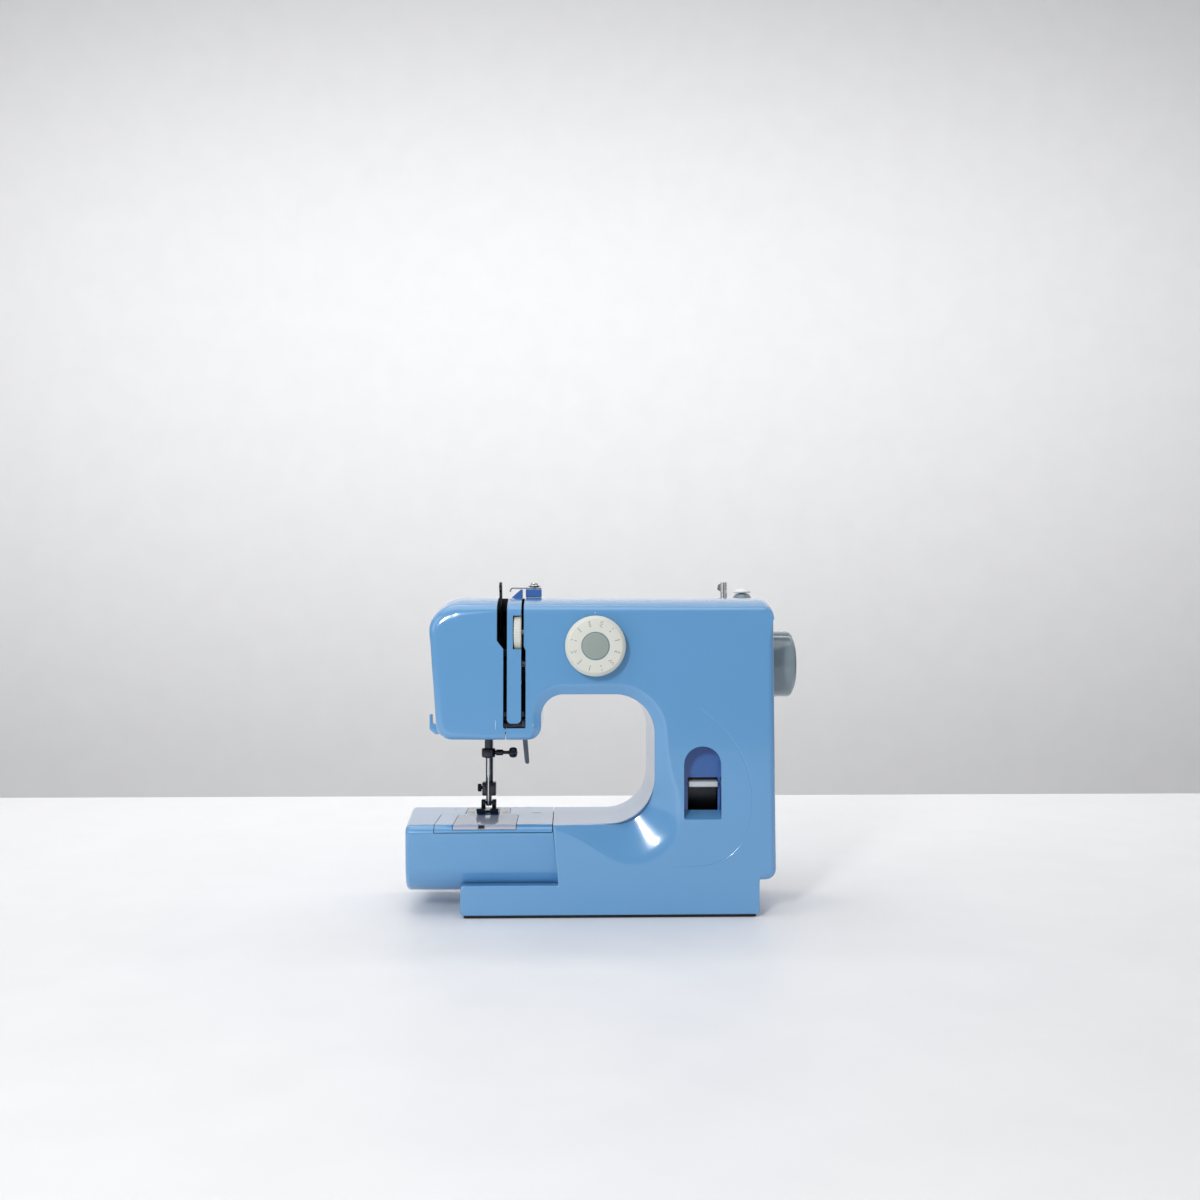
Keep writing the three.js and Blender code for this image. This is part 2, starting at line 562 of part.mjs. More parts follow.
function handwheel() {
  const at = [0, SHAFT_Y, SHAFT_Z];
  const wheel = [[5.3, 135], [25, 135], [26.4, 136.2], [26.4, 153.4], [25.4, 155.4], [22, 155.4], [22, 156.2],
    [5.3, 156.2], [5.3, 135]];
  part('handwheel', turned('x', wheel, at, 32), 'grey');
  const cap = [[0, 156.5], [21.6, 156.5], [20.6, 157.5], [14, 158.1], [0, 158.4]];
  part('handwheel_cap', turned('x', cap, at, 32), 'grey');
}

function powerSide() {
  const y = SWITCH_Y;
  const z = SWITCH_Z;
  const rocker = slab('y', rounded([[126, z - 5], [131, z - 8.4], [135.6, z - 8.4], [134.6, z], [136.6, z + 8.4],
    [131, z + 8.4], [126, z + 5]]), y - 5.6, y + 5.6);
  part('power_switch', rocker, 'black');
  const body = box(118, 134.2, y - 10, y + 10, INLET_Z - 8, INLET_Z + 8);
  const socket = box(122, 140, y - 7.5, y + 7.5, INLET_Z - 5.5, INLET_Z + 5.5);
  const pins = [-3.6, 3.6].map((dy) => bar('x', 1.2, 120, 127, [y + dy, INLET_Z], 10));
  part('power_inlet', join(body.subtract(socket), ...pins), 'black');
}

// ---------------------------------------------------------------- drive

function drive() {
  [-46, 96].forEach((x, i) => {
    const block = box(x, x + 9, -7, 41.6, SHAFT_Z - 11, SHAFT_Z + 11);
    part(`shaft_bush_${i + 1}`, block.subtract(bar('x', 5.3, x - 1, x + 10, [SHAFT_Y, SHAFT_Z])), 'brass');
  });
  const crankDisc = bar('x', 16, -58, -51, [SHAFT_Y, SHAFT_Z], 28);
  const crankPin = bar('x', 2.5, -62, -55, [SHAFT_Y + 11, SHAFT_Z], 12);
  part('main_shaft', join(bar('x', 5, -55, 150, [SHAFT_Y, SHAFT_Z]), crankDisc, crankPin), 'steel');
  const rims = [[0, 106.5], [12, 106.5], [12, 115], [28, 117], [28, 124], [0, 124]];
  const bore = bar('x', 5.3, 100, 130, [SHAFT_Y, SHAFT_Z]);
  part('drive_pulley', turned('x', rims, [0, SHAFT_Y, SHAFT_Z], 32).subtract(bore), 'black');
  belt('timing_belt', 107.5, 113.5, [SHAFT_Y, SHAFT_Z, 12], [LOWER_Y, LOWER_Z, 12]);
  belt('motor_belt', 118, 123, [SHAFT_Y, SHAFT_Z, 28], [MOTOR_Y, MOTOR_Z, 6]);
  lowerDrive();
  motor();
}

function lowerDrive() {
  const shaft = bar('x', 3.5, -80, 116, [LOWER_Y, LOWER_Z], 18);
  const sprocket = bar('x', 12, 107, 114, [LOWER_Y, LOWER_Z], 24);
  const gear = turned('x', [[0, -82], [4, -82], [6.2, -78], [6.2, -76], [0, -76]], [0, LOWER_Y, LOWER_Z], 18);
  part('lower_shaft', join(shaft, sprocket, gear), 'steel');
}

function motor() {
  const at = [0, MOTOR_Y, MOTOR_Z];
  const housing = [
    [0, 58], [7, 58], [8, 62], [18, 64], [18, 98], [8, 100], [7, 103], [2.9, 103], [2.9, 90], [0, 90],
  ];
  part('motor', turned('x', housing, at, 28), 'darkSteel');
  const pulley = [[0, 92], [2.4, 92], [2.4, 116], [6, 117], [6, 124], [0, 124]];
  part('motor_pulley', turned('x', pulley, at, 20), 'steel');
}

function chassis() {
  const frame = rounded([
    [50, 32, 4], [118, 32, 4], [118, 222, 6], [-100, 222, 6], [-100, 176, 4], [50, 176, 12],
  ]);
  const holes = [[84, 150, 20], [84, 70, 22], [-70, 200, 10], [-20, 200, 12], [30, 200, 12]];
  const lightening = holes.map(([x, z, r]) => bar('y', r, 30, 60, [x, z], 20));
  part('chassis', cut(slab('y', frame, 42, 46), ...lightening), 'cast');
}

// ---------------------------------------------------------------- top

function threadGuide() {
  const x = GUIDE_X;
  const y = GUIDE_Y;
  const block = rounded([[-57.4, 243.6], [-45, 243.6, 0.8], [-45, 250, 0.8], [-57.4, 250]]);
  const hole = bar('z', 1.6, 240, 270, [x, y], 12);
  part('guide_block', slab('y', block, y - 7, y + 7).subtract(hole), 'blue');
  const plate = rounded([
    [-70.4, 248], [-69.2, 248], [-68.6, 250.3], [-45.2, 250.3], [-45.2, 251.3], [-69.4, 251.3],
  ]);
  part('thread_guide', slab('y', plate, y - 5, y + 5).subtract(hole), 'chrome');
  part('pretension_disc', ring('z', 5.4, 1.6, 251.6, 253, [x, y], 24), 'chrome');
  const screw = [[0, 246], [1.2, 246], [1.2, 253.3], [3, 253.3], [3, 254.8], [2.4, 255.4], [0, 255.4]];
  part('guide_screw', turned('z', screw, [x, y, 0], 16), 'chrome');
}

function spoolPin() {
  const at = [SPOOL_X, TOP_PIN_Y, 0];
  const pin = turned('z', [[0, 205], [2.75, 205], [2.75, 257.8], [2, 258.6], [0, 258.6]], at, 20);
  const barb = slab('y', rounded([[-5.4, 252], [-2, 250], [-2, 256.6], [-4.6, 256.2]].map(([u, v]) => (
    [SPOOL_X + u, v]))), TOP_PIN_Y - 0.8, TOP_PIN_Y + 0.8);
  part('spool_pin', pin.add(barb), 'chrome');
}

function bobbinWinder() {
  const at = [WINDER_X, TOP_PIN_Y, 0];
  const spindle = [[0, 229], [2.9, 229], [2.9, 249.1], [7.4, 249.3], [7.2, 250.4], [5, 252.2], [0, 253]];
  part('winder_spindle', turned('z', spindle, at, 20), 'white');
  const seat = [[3.2, 242], [7.8, 242], [7.8, 245], [6.4, 247.6], [3.2, 248.8], [3.2, 242]];
  part('winder_seat', turned('z', seat, at, 24), 'grey');
  const arm = box(WINDER_X - 16, WINDER_X + 4.5, TOP_PIN_Y - 5, TOP_PIN_Y + 5, 231, 234);
  part('winder_arm', arm.subtract(bar('z', 3.2, 220, 240, [WINDER_X, TOP_PIN_Y], 16)).subtract(
    bar('z', 4, 220, 240, [SPOOL_X, TOP_PIN_Y], 16)), 'white');
}

casing();
bottomPlate();
freeArm();
needlePlate();
plateScrews();
feedDog();
hookAssembly();
needleBar();
presserBar();
footHolder();
presserFoot();
barFrame();
presserLifter();
takeUpLever();
headDetails();
stitchDial();
tensionUnit();
reverseLever();
handwheel();
powerSide();
drive();
chassis();
threadGuide();
spoolPin();
bobbinWinder();

export default machine;
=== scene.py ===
# %% [markdown]
# # A compact free-arm sewing machine
# This lesson builds the outside of a small household sewing machine around an engineering
# model of it. The engineering model gives every size and every moving body. Each cell below
# makes one visible piece, or one finish, at a finer quality than the engineering solids.
# Lengths are written in millimetres and turned to metres by one constant.

# %% Start
import json
import math

import bmesh
import bpy
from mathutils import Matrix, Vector


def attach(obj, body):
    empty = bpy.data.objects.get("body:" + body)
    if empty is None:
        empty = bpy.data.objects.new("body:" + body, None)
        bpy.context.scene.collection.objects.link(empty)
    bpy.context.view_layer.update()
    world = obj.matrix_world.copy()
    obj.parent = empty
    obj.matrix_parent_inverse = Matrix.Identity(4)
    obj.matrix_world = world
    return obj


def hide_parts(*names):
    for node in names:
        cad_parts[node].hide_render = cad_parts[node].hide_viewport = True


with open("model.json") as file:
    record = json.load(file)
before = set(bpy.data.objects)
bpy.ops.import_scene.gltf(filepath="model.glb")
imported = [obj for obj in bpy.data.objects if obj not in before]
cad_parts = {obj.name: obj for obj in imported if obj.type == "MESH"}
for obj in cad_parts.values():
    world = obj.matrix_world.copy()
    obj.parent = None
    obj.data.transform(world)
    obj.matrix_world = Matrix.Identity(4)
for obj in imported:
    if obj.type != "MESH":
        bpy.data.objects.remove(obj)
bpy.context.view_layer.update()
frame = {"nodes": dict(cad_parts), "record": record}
MM = 0.001

# %% [markdown]
# ## Colours
# Real paint and plastic colours are quoted as sRGB hex values. Cycles works in linear light,
# so one function turns a hex value into the linear numbers that a shader socket expects.


# %% Hex to linear colour
def linear(hex_colour):
    channels = [int(hex_colour[i:i + 2], 16) / 255 for i in (0, 2, 4)]
    curve = [c / 12.92 if c <= 0.04045 else ((c + 0.055) / 1.055) ** 2.4 for c in channels]
    return (*curve, 1.0)


# %% [markdown]
# ## A node at a time
# Every finish is a small node graph around one Principled shader. A single helper adds a
# node of any kind, sets its values and plugs in its links, so each material reads as a list.


# %% Node helper
def new_material(name):
    material = bpy.data.materials.new(name)
    material.use_nodes = True
    return material, material.node_tree.nodes["Principled BSDF"]


def add_node(material, kind, settings=None, links=None):
    tree = material.node_tree
    node = tree.nodes.new(kind)
    for key, value in (settings or {}).items():
        if key in node.inputs:
            node.inputs[key].default_value = value
        else:
            setattr(node, key, value)
    for key, source in (links or {}).items():
        tree.links.new(source, node.inputs[key])
    return node


def plug(material, shader, socket, source):
    material.node_tree.links.new(source, shader.inputs[socket])


# %% [markdown]
# ## Moulded plastics
# The casing is injection-moulded ABS with a polished mould. It has a clear gloss, a very
# faint orange-peel waviness a few millimetres across from the polished steel, and a slight
# unevenness of gloss from handling. A noise texture in object coordinates gives both: its
# coarse scale tilts the surface a little, and its slow variation moves the roughness.


# %% ABS family
def moulded_plastic(name, hex_colour, roughness, shade=0.03, wave_mm=9.0, wave=0.012, ior=1.54, coat=0.0):
    material, shader = new_material(name)
    shader.inputs["IOR"].default_value = ior
    shader.inputs["Coat Weight"].default_value = coat
    shader.inputs["Coat Roughness"].default_value = 0.05
    where = add_node(material, "ShaderNodeTexCoord")
    slow = add_node(material, "ShaderNodeTexNoise", {"Scale": 1 / (60 * MM), "Detail": 2.0},
                    {"Vector": where.outputs["Object"]})
    base = linear(hex_colour)
    darker = tuple(c * (1 - shade) for c in base[:3]) + (1.0,)
    tint = add_node(material, "ShaderNodeMix", {"data_type": "RGBA"})
    tint.inputs[6].default_value = darker
    tint.inputs[7].default_value = base
    material.node_tree.links.new(slow.outputs["Fac"], tint.inputs[0])
    plug(material, shader, "Base Color", tint.outputs[2])
    gloss = add_node(material, "ShaderNodeMapRange",
                     {"To Min": roughness * 0.85, "To Max": roughness * 1.15}, {"Value": slow.outputs["Fac"]})
    plug(material, shader, "Roughness", gloss.outputs["Result"])
    peel = add_node(material, "ShaderNodeTexNoise", {"Scale": 1 / (wave_mm * MM), "Detail": 1.0},
                    {"Vector": where.outputs["Object"]})
    bump = add_node(material, "ShaderNodeBump", {"Strength": wave, "Distance": 1 * MM},
                    {"Height": peel.outputs["Fac"]})
    plug(material, shader, "Normal", bump.outputs["Normal"])
    return material


def grained_plastic(name, hex_colour, roughness, grain_mm=0.9, depth=0.15):
    return moulded_plastic(name, hex_colour, roughness, shade=0.06, wave_mm=grain_mm, wave=depth)


blue_abs = moulded_plastic("glossy_blue_abs", "5E98C9", 0.2, coat=0.9)
# Darker copy of the casing blue: painted shade for the lever recess walls, the tongue's fin and the guide
# block.
painted_shade_blue = moulded_plastic("glossy_blue_abs_painted_shade", "3869AE", 0.16, coat=0.3)
cream_abs = grained_plastic("satin_cream_abs", "D3D5CC", 0.38)
print_grey = grained_plastic("pad_print_grey", "8E9A94", 0.45)
print_dark = grained_plastic("pad_print_dark_grey", "5C6466", 0.5)
print_pale = grained_plastic("pad_print_pale_blue", "9CC0E4", 0.45)
smoke_abs = moulded_plastic("glossy_smoke_grey_abs", "7C8C93", 0.14, coat=0.3)
pale_abs = grained_plastic("satin_pale_grey_abs", "CDD2D2", 0.35)
white_abs = grained_plastic("satin_white_acetal", "E9E9E6", 0.35)
black_abs = grained_plastic("satin_black_abs", "0E0F11", 0.42)
# Near-black for the inside of the casing: painted shade, standing in for the deep shade in the slots and
# hollows.
painted_shade_black = grained_plastic("matt_black_painted_shade", "050506", 0.85)
lever_grey = grained_plastic("satin_mid_grey_nylon", "7E838A", 0.4)
rubber = grained_plastic("moulded_black_rubber", "101011", 0.8, 1.5, 0.4)

# %% [markdown]
# ## Metals
# Turned and plated steel shows fine lines round its axis or along its length. A noise
# stretched along Z and squeezed across gives those lines to the roughness and the bump.
# The real lines are about 0.1 mm apart; they are drawn about 0.5 mm apart so they can show.


# %% Metal family
def worked_metal(name, hex_colour, roughness, line_mm=0.5, depth=0.06):
    material, shader = new_material(name)
    shader.inputs["Metallic"].default_value = 1.0
    where = add_node(material, "ShaderNodeTexCoord")
    squeeze = add_node(material, "ShaderNodeMapping", {"Scale": (0.1, 0.1, 1.0)},
                       {"Vector": where.outputs["Object"]})
    lines = add_node(material, "ShaderNodeTexNoise", {"Scale": 1 / (line_mm * MM), "Detail": 3.0},
                     {"Vector": squeeze.outputs["Vector"]})
    base = linear(hex_colour)
    worn = tuple(c * 0.8 for c in base[:3]) + (1.0,)
    tint = add_node(material, "ShaderNodeMix", {"data_type": "RGBA"})
    tint.inputs[6].default_value = worn
    tint.inputs[7].default_value = base
    material.node_tree.links.new(lines.outputs["Fac"], tint.inputs[0])
    plug(material, shader, "Base Color", tint.outputs[2])
    gloss = add_node(material, "ShaderNodeMapRange",
                     {"To Min": roughness * 0.7, "To Max": roughness * 1.4}, {"Value": lines.outputs["Fac"]})
    plug(material, shader, "Roughness", gloss.outputs["Result"])
    bump = add_node(material, "ShaderNodeBump", {"Strength": depth, "Distance": 0.1 * MM},
                    {"Height": lines.outputs["Fac"]})
    plug(material, shader, "Normal", bump.outputs["Normal"])
    return material


brushed_steel = worked_metal("ground_steel", "C2C4C6", 0.28)
# Dark plated steel. On the chrome bars, needle clamp and presser foot the dark colour is painted reflection
# of dark surroundings; the take-up lever is dark steel of its own.
dark_steel_and_painted_reflection = worked_metal("dark_plated_steel_and_painted_reflection", "43464B", 0.14)
bright_chrome = worked_metal("chrome_plated_steel", "D9DBDD", 0.1)
# The cast frames are dark grey as painted shade: they show through the slots and stand in for the shade
# inside the casing.
cast_metal_painted_shade = worked_metal("die_cast_aluminium_painted_shade", "4A4C4F", 0.45, 1.2, 0.4)
sintered_brass = worked_metal("sintered_brass", "C2A25A", 0.35)


# %% [markdown]
# ## Clear plastics
# The bobbin cover is a thin plate of clear acrylic over pale mechanism. Thin clear plastic
# is mostly transmission with a sharp reflection on top; a trace of tint keeps it visible.


# %% Clear acrylic and bulb glass
def clear_material(name, hex_colour, roughness, ior, transmission):
    material, shader = new_material(name)
    shader.inputs["Base Color"].default_value = linear(hex_colour)
    shader.inputs["Transmission Weight"].default_value = transmission
    shader.inputs["IOR"].default_value = ior
    where = add_node(material, "ShaderNodeTexCoord")
    haze = add_node(material, "ShaderNodeTexNoise", {"Scale": 1 / (12 * MM), "Detail": 2.0},
                    {"Vector": where.outputs["Object"]})
    gloss = add_node(material, "ShaderNodeMapRange", {"To Min": roughness * 0.6, "To Max": roughness * 1.4},
                     {"Value": haze.outputs["Fac"]})
    plug(material, shader, "Roughness", gloss.outputs["Result"])
    return material


clear_acrylic = clear_material("clear_acrylic", "C3CBDC", 0.08, 1.49, 0.3)
bulb_glass = clear_material("soda_lime_glass", "F6F2E6", 0.05, 1.52, 0.6)

FINISH = {
    "blue": blue_abs, "cream": cream_abs, "grey": smoke_abs, "pale_grey": pale_abs, "white": white_abs,
    "black": black_abs, "rubber": rubber, "clear": clear_acrylic, "steel": brushed_steel,
    "dark_steel": dark_steel_and_painted_reflection, "chrome": bright_chrome, "cast": cast_metal_painted_shade, "brass": sintered_brass,
    "lamp_glass": bulb_glass,
}

# %% [markdown]
# ## Dressing the engineering solids
# Solids whose shape is already right stay in view. Each one only needs the finish that its
# material slot names.

# %% Finishes on the engineering solids
for entry in frame["record"]["subparts"]:
    solid = frame["nodes"][entry["node"]]
    solid.data.materials.clear()
    solid.data.materials.append(FINISH[entry["material_slot"]])
bodies = frame["record"]["behaviour"]["bodies"]
body_of_node = {node: body for body, nodes in bodies.items() for node in nodes}


# %% [markdown]
# ## Outlines with rounded corners
# Moulded parts are outlines with rounded corners, pushed through a thickness. A corner is
# written as its position and a radius, and this helper swaps it for points along an arc.
# Straight stretches can be divided too, for surfaces that change along their length.


# %% Rounded outlines
def rounded(corners, arc_step=6.0, straight_step=None):
    count = len(corners)
    points = []
    for i, corner in enumerate(corners):
        here = Vector(corner[:2])
        radius = corner[2] if len(corner) > 2 else 0
        to_last = (Vector(corners[i - 1][:2]) - here).normalized()
        to_next = (Vector(corners[(i + 1) % count][:2]) - here).normalized()
        if radius == 0:
            points.append(here)
            continue
        half = math.acos(max(-1, min(1, to_last.dot(to_next)))) / 2
        centre = here + (to_last + to_next).normalized() * radius / math.sin(half)
        start = here + to_last * radius / math.tan(half) - centre
        turn = math.pi - 2 * half
        side = start.y * to_last.x - start.x * to_last.y
        steps = max(2, math.ceil(math.degrees(turn) / arc_step))
        for k in range(steps + 1):
            angle = math.copysign(turn * k / steps, side)
            swing = Vector((start.x * math.cos(angle) - start.y * math.sin(angle),
                            start.x * math.sin(angle) + start.y * math.cos(angle)))
            points.append(centre + swing)
    if not straight_step:
        return points
    divided = []
    for i, here in enumerate(points):
        after = points[(i + 1) % len(points)]
        parts = max(1, round((after - here).length / straight_step))
        divided += [here.lerp(after, k / parts) for k in range(parts)]
    return divided


def rect(u0, u1, v0, v1, radius=0):
    return [(u0, v0, radius), (u1, v0, radius), (u1, v1, radius), (u0, v1, radius)]


def inward(points):
    """Unit direction into the outline at each point, and the stretch that keeps walls parallel."""
    result = []
    for i, here in enumerate(points):
        before = (here - points[i - 1]).normalized()
        after = (points[(i + 1) % len(points)] - here).normalized()
        middle = before + after
        normal = Vector((-middle.y, middle.x)).normalized()
        across = Vector((-before.y, before.x))
        result.append(normal / max(0.35, normal.dot(across)))
    return result


# %% [markdown]
# ## Solids from rings
# A solid is a stack of closed rings with a flat face at each end. Rounded edges are rings
# that step inward along a quarter circle. Building the rounding into the rings gives clean
# highlights, which a glossy casing needs more than anything else.

# %% Ring solids
TO_3D = {
    "x": lambda u, v, w: Vector((w, u, v)),
    "y": lambda u, v, w: Vector((u, w, v)),
    "z": lambda u, v, w: Vector((u, v, w)),
}


def solid_from_rings(name, rings, material, smooth_angle=35):
    """Rings are lists of points in millimetres, all of one length, from one end to the other."""
    mesh = bpy.data.meshes.new(name)
    size = len(rings[0])
    vertices = [point * MM for ring in rings for point in ring]
    faces = [tuple(reversed(range(size))), tuple(range((len(rings) - 1) * size, len(rings) * size))]
    for r in range(len(rings) - 1):
        low, high = r * size, (r + 1) * size
        faces += [(low + i, low + (i + 1) % size, high + (i + 1) % size, high + i) for i in range(size)]
    mesh.from_pydata(vertices, [], faces)
    body = bmesh.new()
    body.from_mesh(mesh)
    bmesh.ops.recalc_face_normals(body, faces=body.faces)
    body.to_mesh(mesh)
    body.free()
    mesh.materials.append(material)
    piece = bpy.data.objects.new(name, mesh)
    bpy.context.scene.collection.objects.link(piece)
    smooth(piece, smooth_angle)
    return piece


def smooth(piece, angle=35):
    """Shades curved stretches smoothly and keeps edges sharper than the angle crisp."""
    mesh = piece.data
    mesh.polygons.foreach_set("use_smooth", [True] * len(mesh.polygons))
    mesh.set_sharp_from_angle(angle=math.radians(angle))


def prism(name, axis, corners, low, high, material, edges=(0, 0), arc_step=6.0):
    """An outline pushed from low to high; edges gives the rounding at the low and high ends."""
    points = rounded(corners, arc_step)
    lean = inward(points)
    steps = 6
    rings = []
    for end, edge in ((low, edges[0]), (high, edges[1])):
        sign = 1 if end == low else -1
        ring_angles = [math.pi / 2 * k / steps for k in range(steps + 1)] if edge else [0]
        levels = [(edge * (1 - math.sin(a)), edge * (1 - math.cos(a))) for a in ring_angles]
        part = [[TO_3D[axis](*(p + n * inset), end + sign * drop) for p, n in zip(points, lean)]
                for inset, drop in levels]
        rings += part if sign == 1 else part[::-1]
    return solid_from_rings(name, rings, material)


# %% [markdown]
# ## Turned solids
# Knobs, pins, discs and the handwheel are turned shapes. The profile is a list of radius and
# height pairs. Where a real edge is broken, the profile has a small arc, made by `rounded`.


# %% Turned solids
def turned(name, axis, profile, at, material, segments=96, arc_step=12.0):
    """profile holds (radius, height, corner radius) in millimetres along the axis."""
    line = [Vector(p) for p in rounded(profile, arc_step)]
    mesh = bpy.data.meshes.new(name)
    body = bmesh.new()
    rows = []
    for point in line:
        if abs(point.x) < 1e-6:
            rows.append([body.verts.new(spin(axis, 0, 0, point.y, at))])
            continue
        rows.append([body.verts.new(spin(axis, point.x, 2 * math.pi * k / segments, point.y, at))
                     for k in range(segments)])
    for a, b in zip(rows, rows[1:] + rows[:1]):
        if len(a) == 1 and len(b) == 1:
            continue
        for k in range(segments):
            ring = [a[k % len(a)], a[(k + 1) % len(a)], b[(k + 1) % len(b)], b[k % len(b)]]
            body.faces.new(list(dict.fromkeys(ring)))
    bmesh.ops.recalc_face_normals(body, faces=body.faces)
    body.to_mesh(mesh)
    body.free()
    mesh.materials.append(material)
    piece = bpy.data.objects.new(name, mesh)
    bpy.context.scene.collection.objects.link(piece)
    smooth(piece, 28)
    return piece


def spin(axis, radius, angle, height, at):
    u, v = radius * math.cos(angle), radius * math.sin(angle)
    return (TO_3D[axis](u, v, height) + Vector(at)) * MM


# %% [markdown]
# ## Cutting, joining and placing
# Windows, slots and recesses are cut with exact booleans and applied at once, so the result
# is a plain mesh. A cutter's own finish stays on the faces it leaves, so dark cutters paint
# shade into the slots, hollows and lever recess of the bright casing. Weighted normals then
# keep the flat faces flat beside their roundings.
# Every piece rides with the body that carries it, and the engineering solid it stands for is hidden.


# %% Boolean and placing helpers
def combine(piece, others, operation="DIFFERENCE"):
    for other in others:
        step = piece.modifiers.new("step", "BOOLEAN")
        step.operation = operation
        step.solver = "EXACT"
        step.object = other
        step.material_mode = "TRANSFER"
        graph = bpy.context.evaluated_depsgraph_get()
        mesh = bpy.data.meshes.new_from_object(piece.evaluated_get(graph))
        piece.modifiers.remove(step)
        piece.data = mesh
        bpy.data.objects.remove(other)
    return piece


def box(x0, x1, y0, y1, z0, z1, radius=0, axis="y"):
    """A cutter or block; its corners are rounded in the plane across the axis."""
    span = {"x": (y0, y1, z0, z1, x0, x1), "y": (x0, x1, z0, z1, y0, y1), "z": (x0, x1, y0, y1, z0, z1)}[axis]
    return prism("block", axis, rect(*span[:4], radius), span[4], span[5], blue_abs)


def rod(axis, radius, low, high, at, material=None, segments=48):
    profile = [(0, low), (radius, low), (radius, high), (0, high)]
    return turned("rod", axis, profile, at, material or blue_abs, segments)


def keep_flats(piece):
    flats = piece.modifiers.new("flat faces", "WEIGHTED_NORMAL")
    flats.keep_sharp = True
    return piece


def soften(piece, width=0.4, segments=2, angle=35):
    """Breaks the sharp edges, as a mould or a file does, and keeps the flats flat."""
    edge = piece.modifiers.new("broken edges", "BEVEL")
    edge.width = width * MM
    edge.segments = segments
    edge.limit_method = "ANGLE"
    edge.angle_limit = math.radians(angle)
    edge.harden_normals = False
    return keep_flats(piece)


def place(piece, node):
    """Rides with the node's body and hides the node it stands for."""
    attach(piece, body_of_node[node])
    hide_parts(node)
    print("placed", piece.name, len(piece.data.polygons), "faces")
    return piece


# %% [markdown]
# ## The casing as one form
# The column, the upper arm and the bed are one C-shaped moulding in two halves. The front
# half is a stack of rings too, but its rounding changes from edge to edge: a full rounding
# on the outer edges, and a shallow slope round the arm opening that widens into a broad cone
# at the lower right corner. Each outline edge therefore has its own width and depth.

# %% Casing sizes
FRONT, BACK, SEAM = -55.0, 52.0, 10.85
BED_TOP, HEAD_BOTTOM, CREST = 69.8, 134.2, 243.2
NEEDLE_X, NEEDLE_Y, PRESSER_Y = -88.4, 12.0, 24.0
AXLE = (0, 3, 190.5)
DIAL = (-3.6, 0, 205.4)
AT_SPOOL, AT_WINDER = (105.6, 30, 0), (121, 30, 0)
SWITCH_Y, SWITCH_Z, SOCKET_Z = 26.0, 78.0, 50.0
TENSION_AT = (0, -43, 215.7)
LEVER_AT = Vector((-5, 99))
TAKE_UP = (0, -8, 200)
LIFTER_PIN = (0, 28, 141)
OUTER = [
    (-105.3, 2.2, 2.5), (121.3, 2.2, 2.5), (121.3, 27.6, 0.8), (134.6, 27.6, 8), (133.2, 243.6, 8),
    (-132, 243.6, 24), (-123.7, HEAD_BOTTOM, 12), (-44.6, HEAD_BOTTOM, 10), (-44.6, 168.5, 17),
    (41.8, 168.5, 30), (41.8, BED_TOP, 34), (-35.7, BED_TOP), (-31.5, 24.6, 0.5), (-105.3, 24.6, 2.5),
]
CROWN = [(-55, 230.5), (-54.6, 232.6), (-53.4, 234.4), (-51.5, 236), (-49, 237.2), (-38, 240.8), (-28, 242.6),
         (-20, CREST), (5, 242.8), (14, 242.3), (30, 240.4), (42, 237.9), (47, 236.2), (50, 234.2),
         (51.5, 232), (52, 230)]


def along(table, value):
    """Reads a table of (position, value) pairs with straight lines between them."""
    if value <= table[0][0]:
        return table[0][1]
    for (a, va), (b, vb) in zip(table, table[1:]):
        if value <= b:
            return va + (vb - va) * (value - a) / (b - a)
    return table[-1][1]


def crowned(point):
    """Lowers the top of the casing to its crowned profile, fading out below it."""
    fade = max(0.0, min(1.0, (point.z - 205) / (CREST + 0.4 - 205)))
    drop = (CREST + 0.4 - along(CROWN, point.y)) * fade
    return Vector((point.x, point.y, point.z - drop))


# %% [markdown]
# ## The slope round the arm opening
# Distances along the opening run from the head's lower corner, over the top, down the
# column and back along the bed. `SLOPE_WIDTH` is how far the slope reaches over the front
# face at each distance and `SLOPE_DEPTH` how deep it is at the opening's edge. The slope is
# straight for the share `SLOPE_STRAIGHT` of its width and then eases into the flat face.

# %% Opening slope
SLOPE_WIDTH = [(0, 6), (34, 8), (97, 9), (150, 11), (172, 20), (186, 34), (200, 38), (212, 34), (226, 22),
               (240, 11), (262, 2.5)]
SLOPE_DEPTH = [(0, 2.4), (34, 3), (140, 3.5), (165, 4.2), (184, 11), (200, 13.2), (213, 10.5), (228, 5),
               (240, 3), (262, 0.4)]
SLOPE_STRAIGHT = 0.7
SIDE_ROUND = {"top": 0.0, "right": 5.5, "head_left": 6.5, "head_bottom": 4.0, "base": 1.3, "step": 1.0}
CROWN_REACH = 5.5


def edge_kind(point):
    if point.x < -106:
        return "head_left"
    if point.y > 225:
        return "top"
    if point.x > 122:
        return "right"
    if point.y < 28.5 or point.x < -100 and point.y < 60:
        return "base"
    if point.y < 69 and point.x < -30:
        return "step"
    if point.y < 135.5 and point.x < -44.7:
        return "head_bottom"
    return "opening"


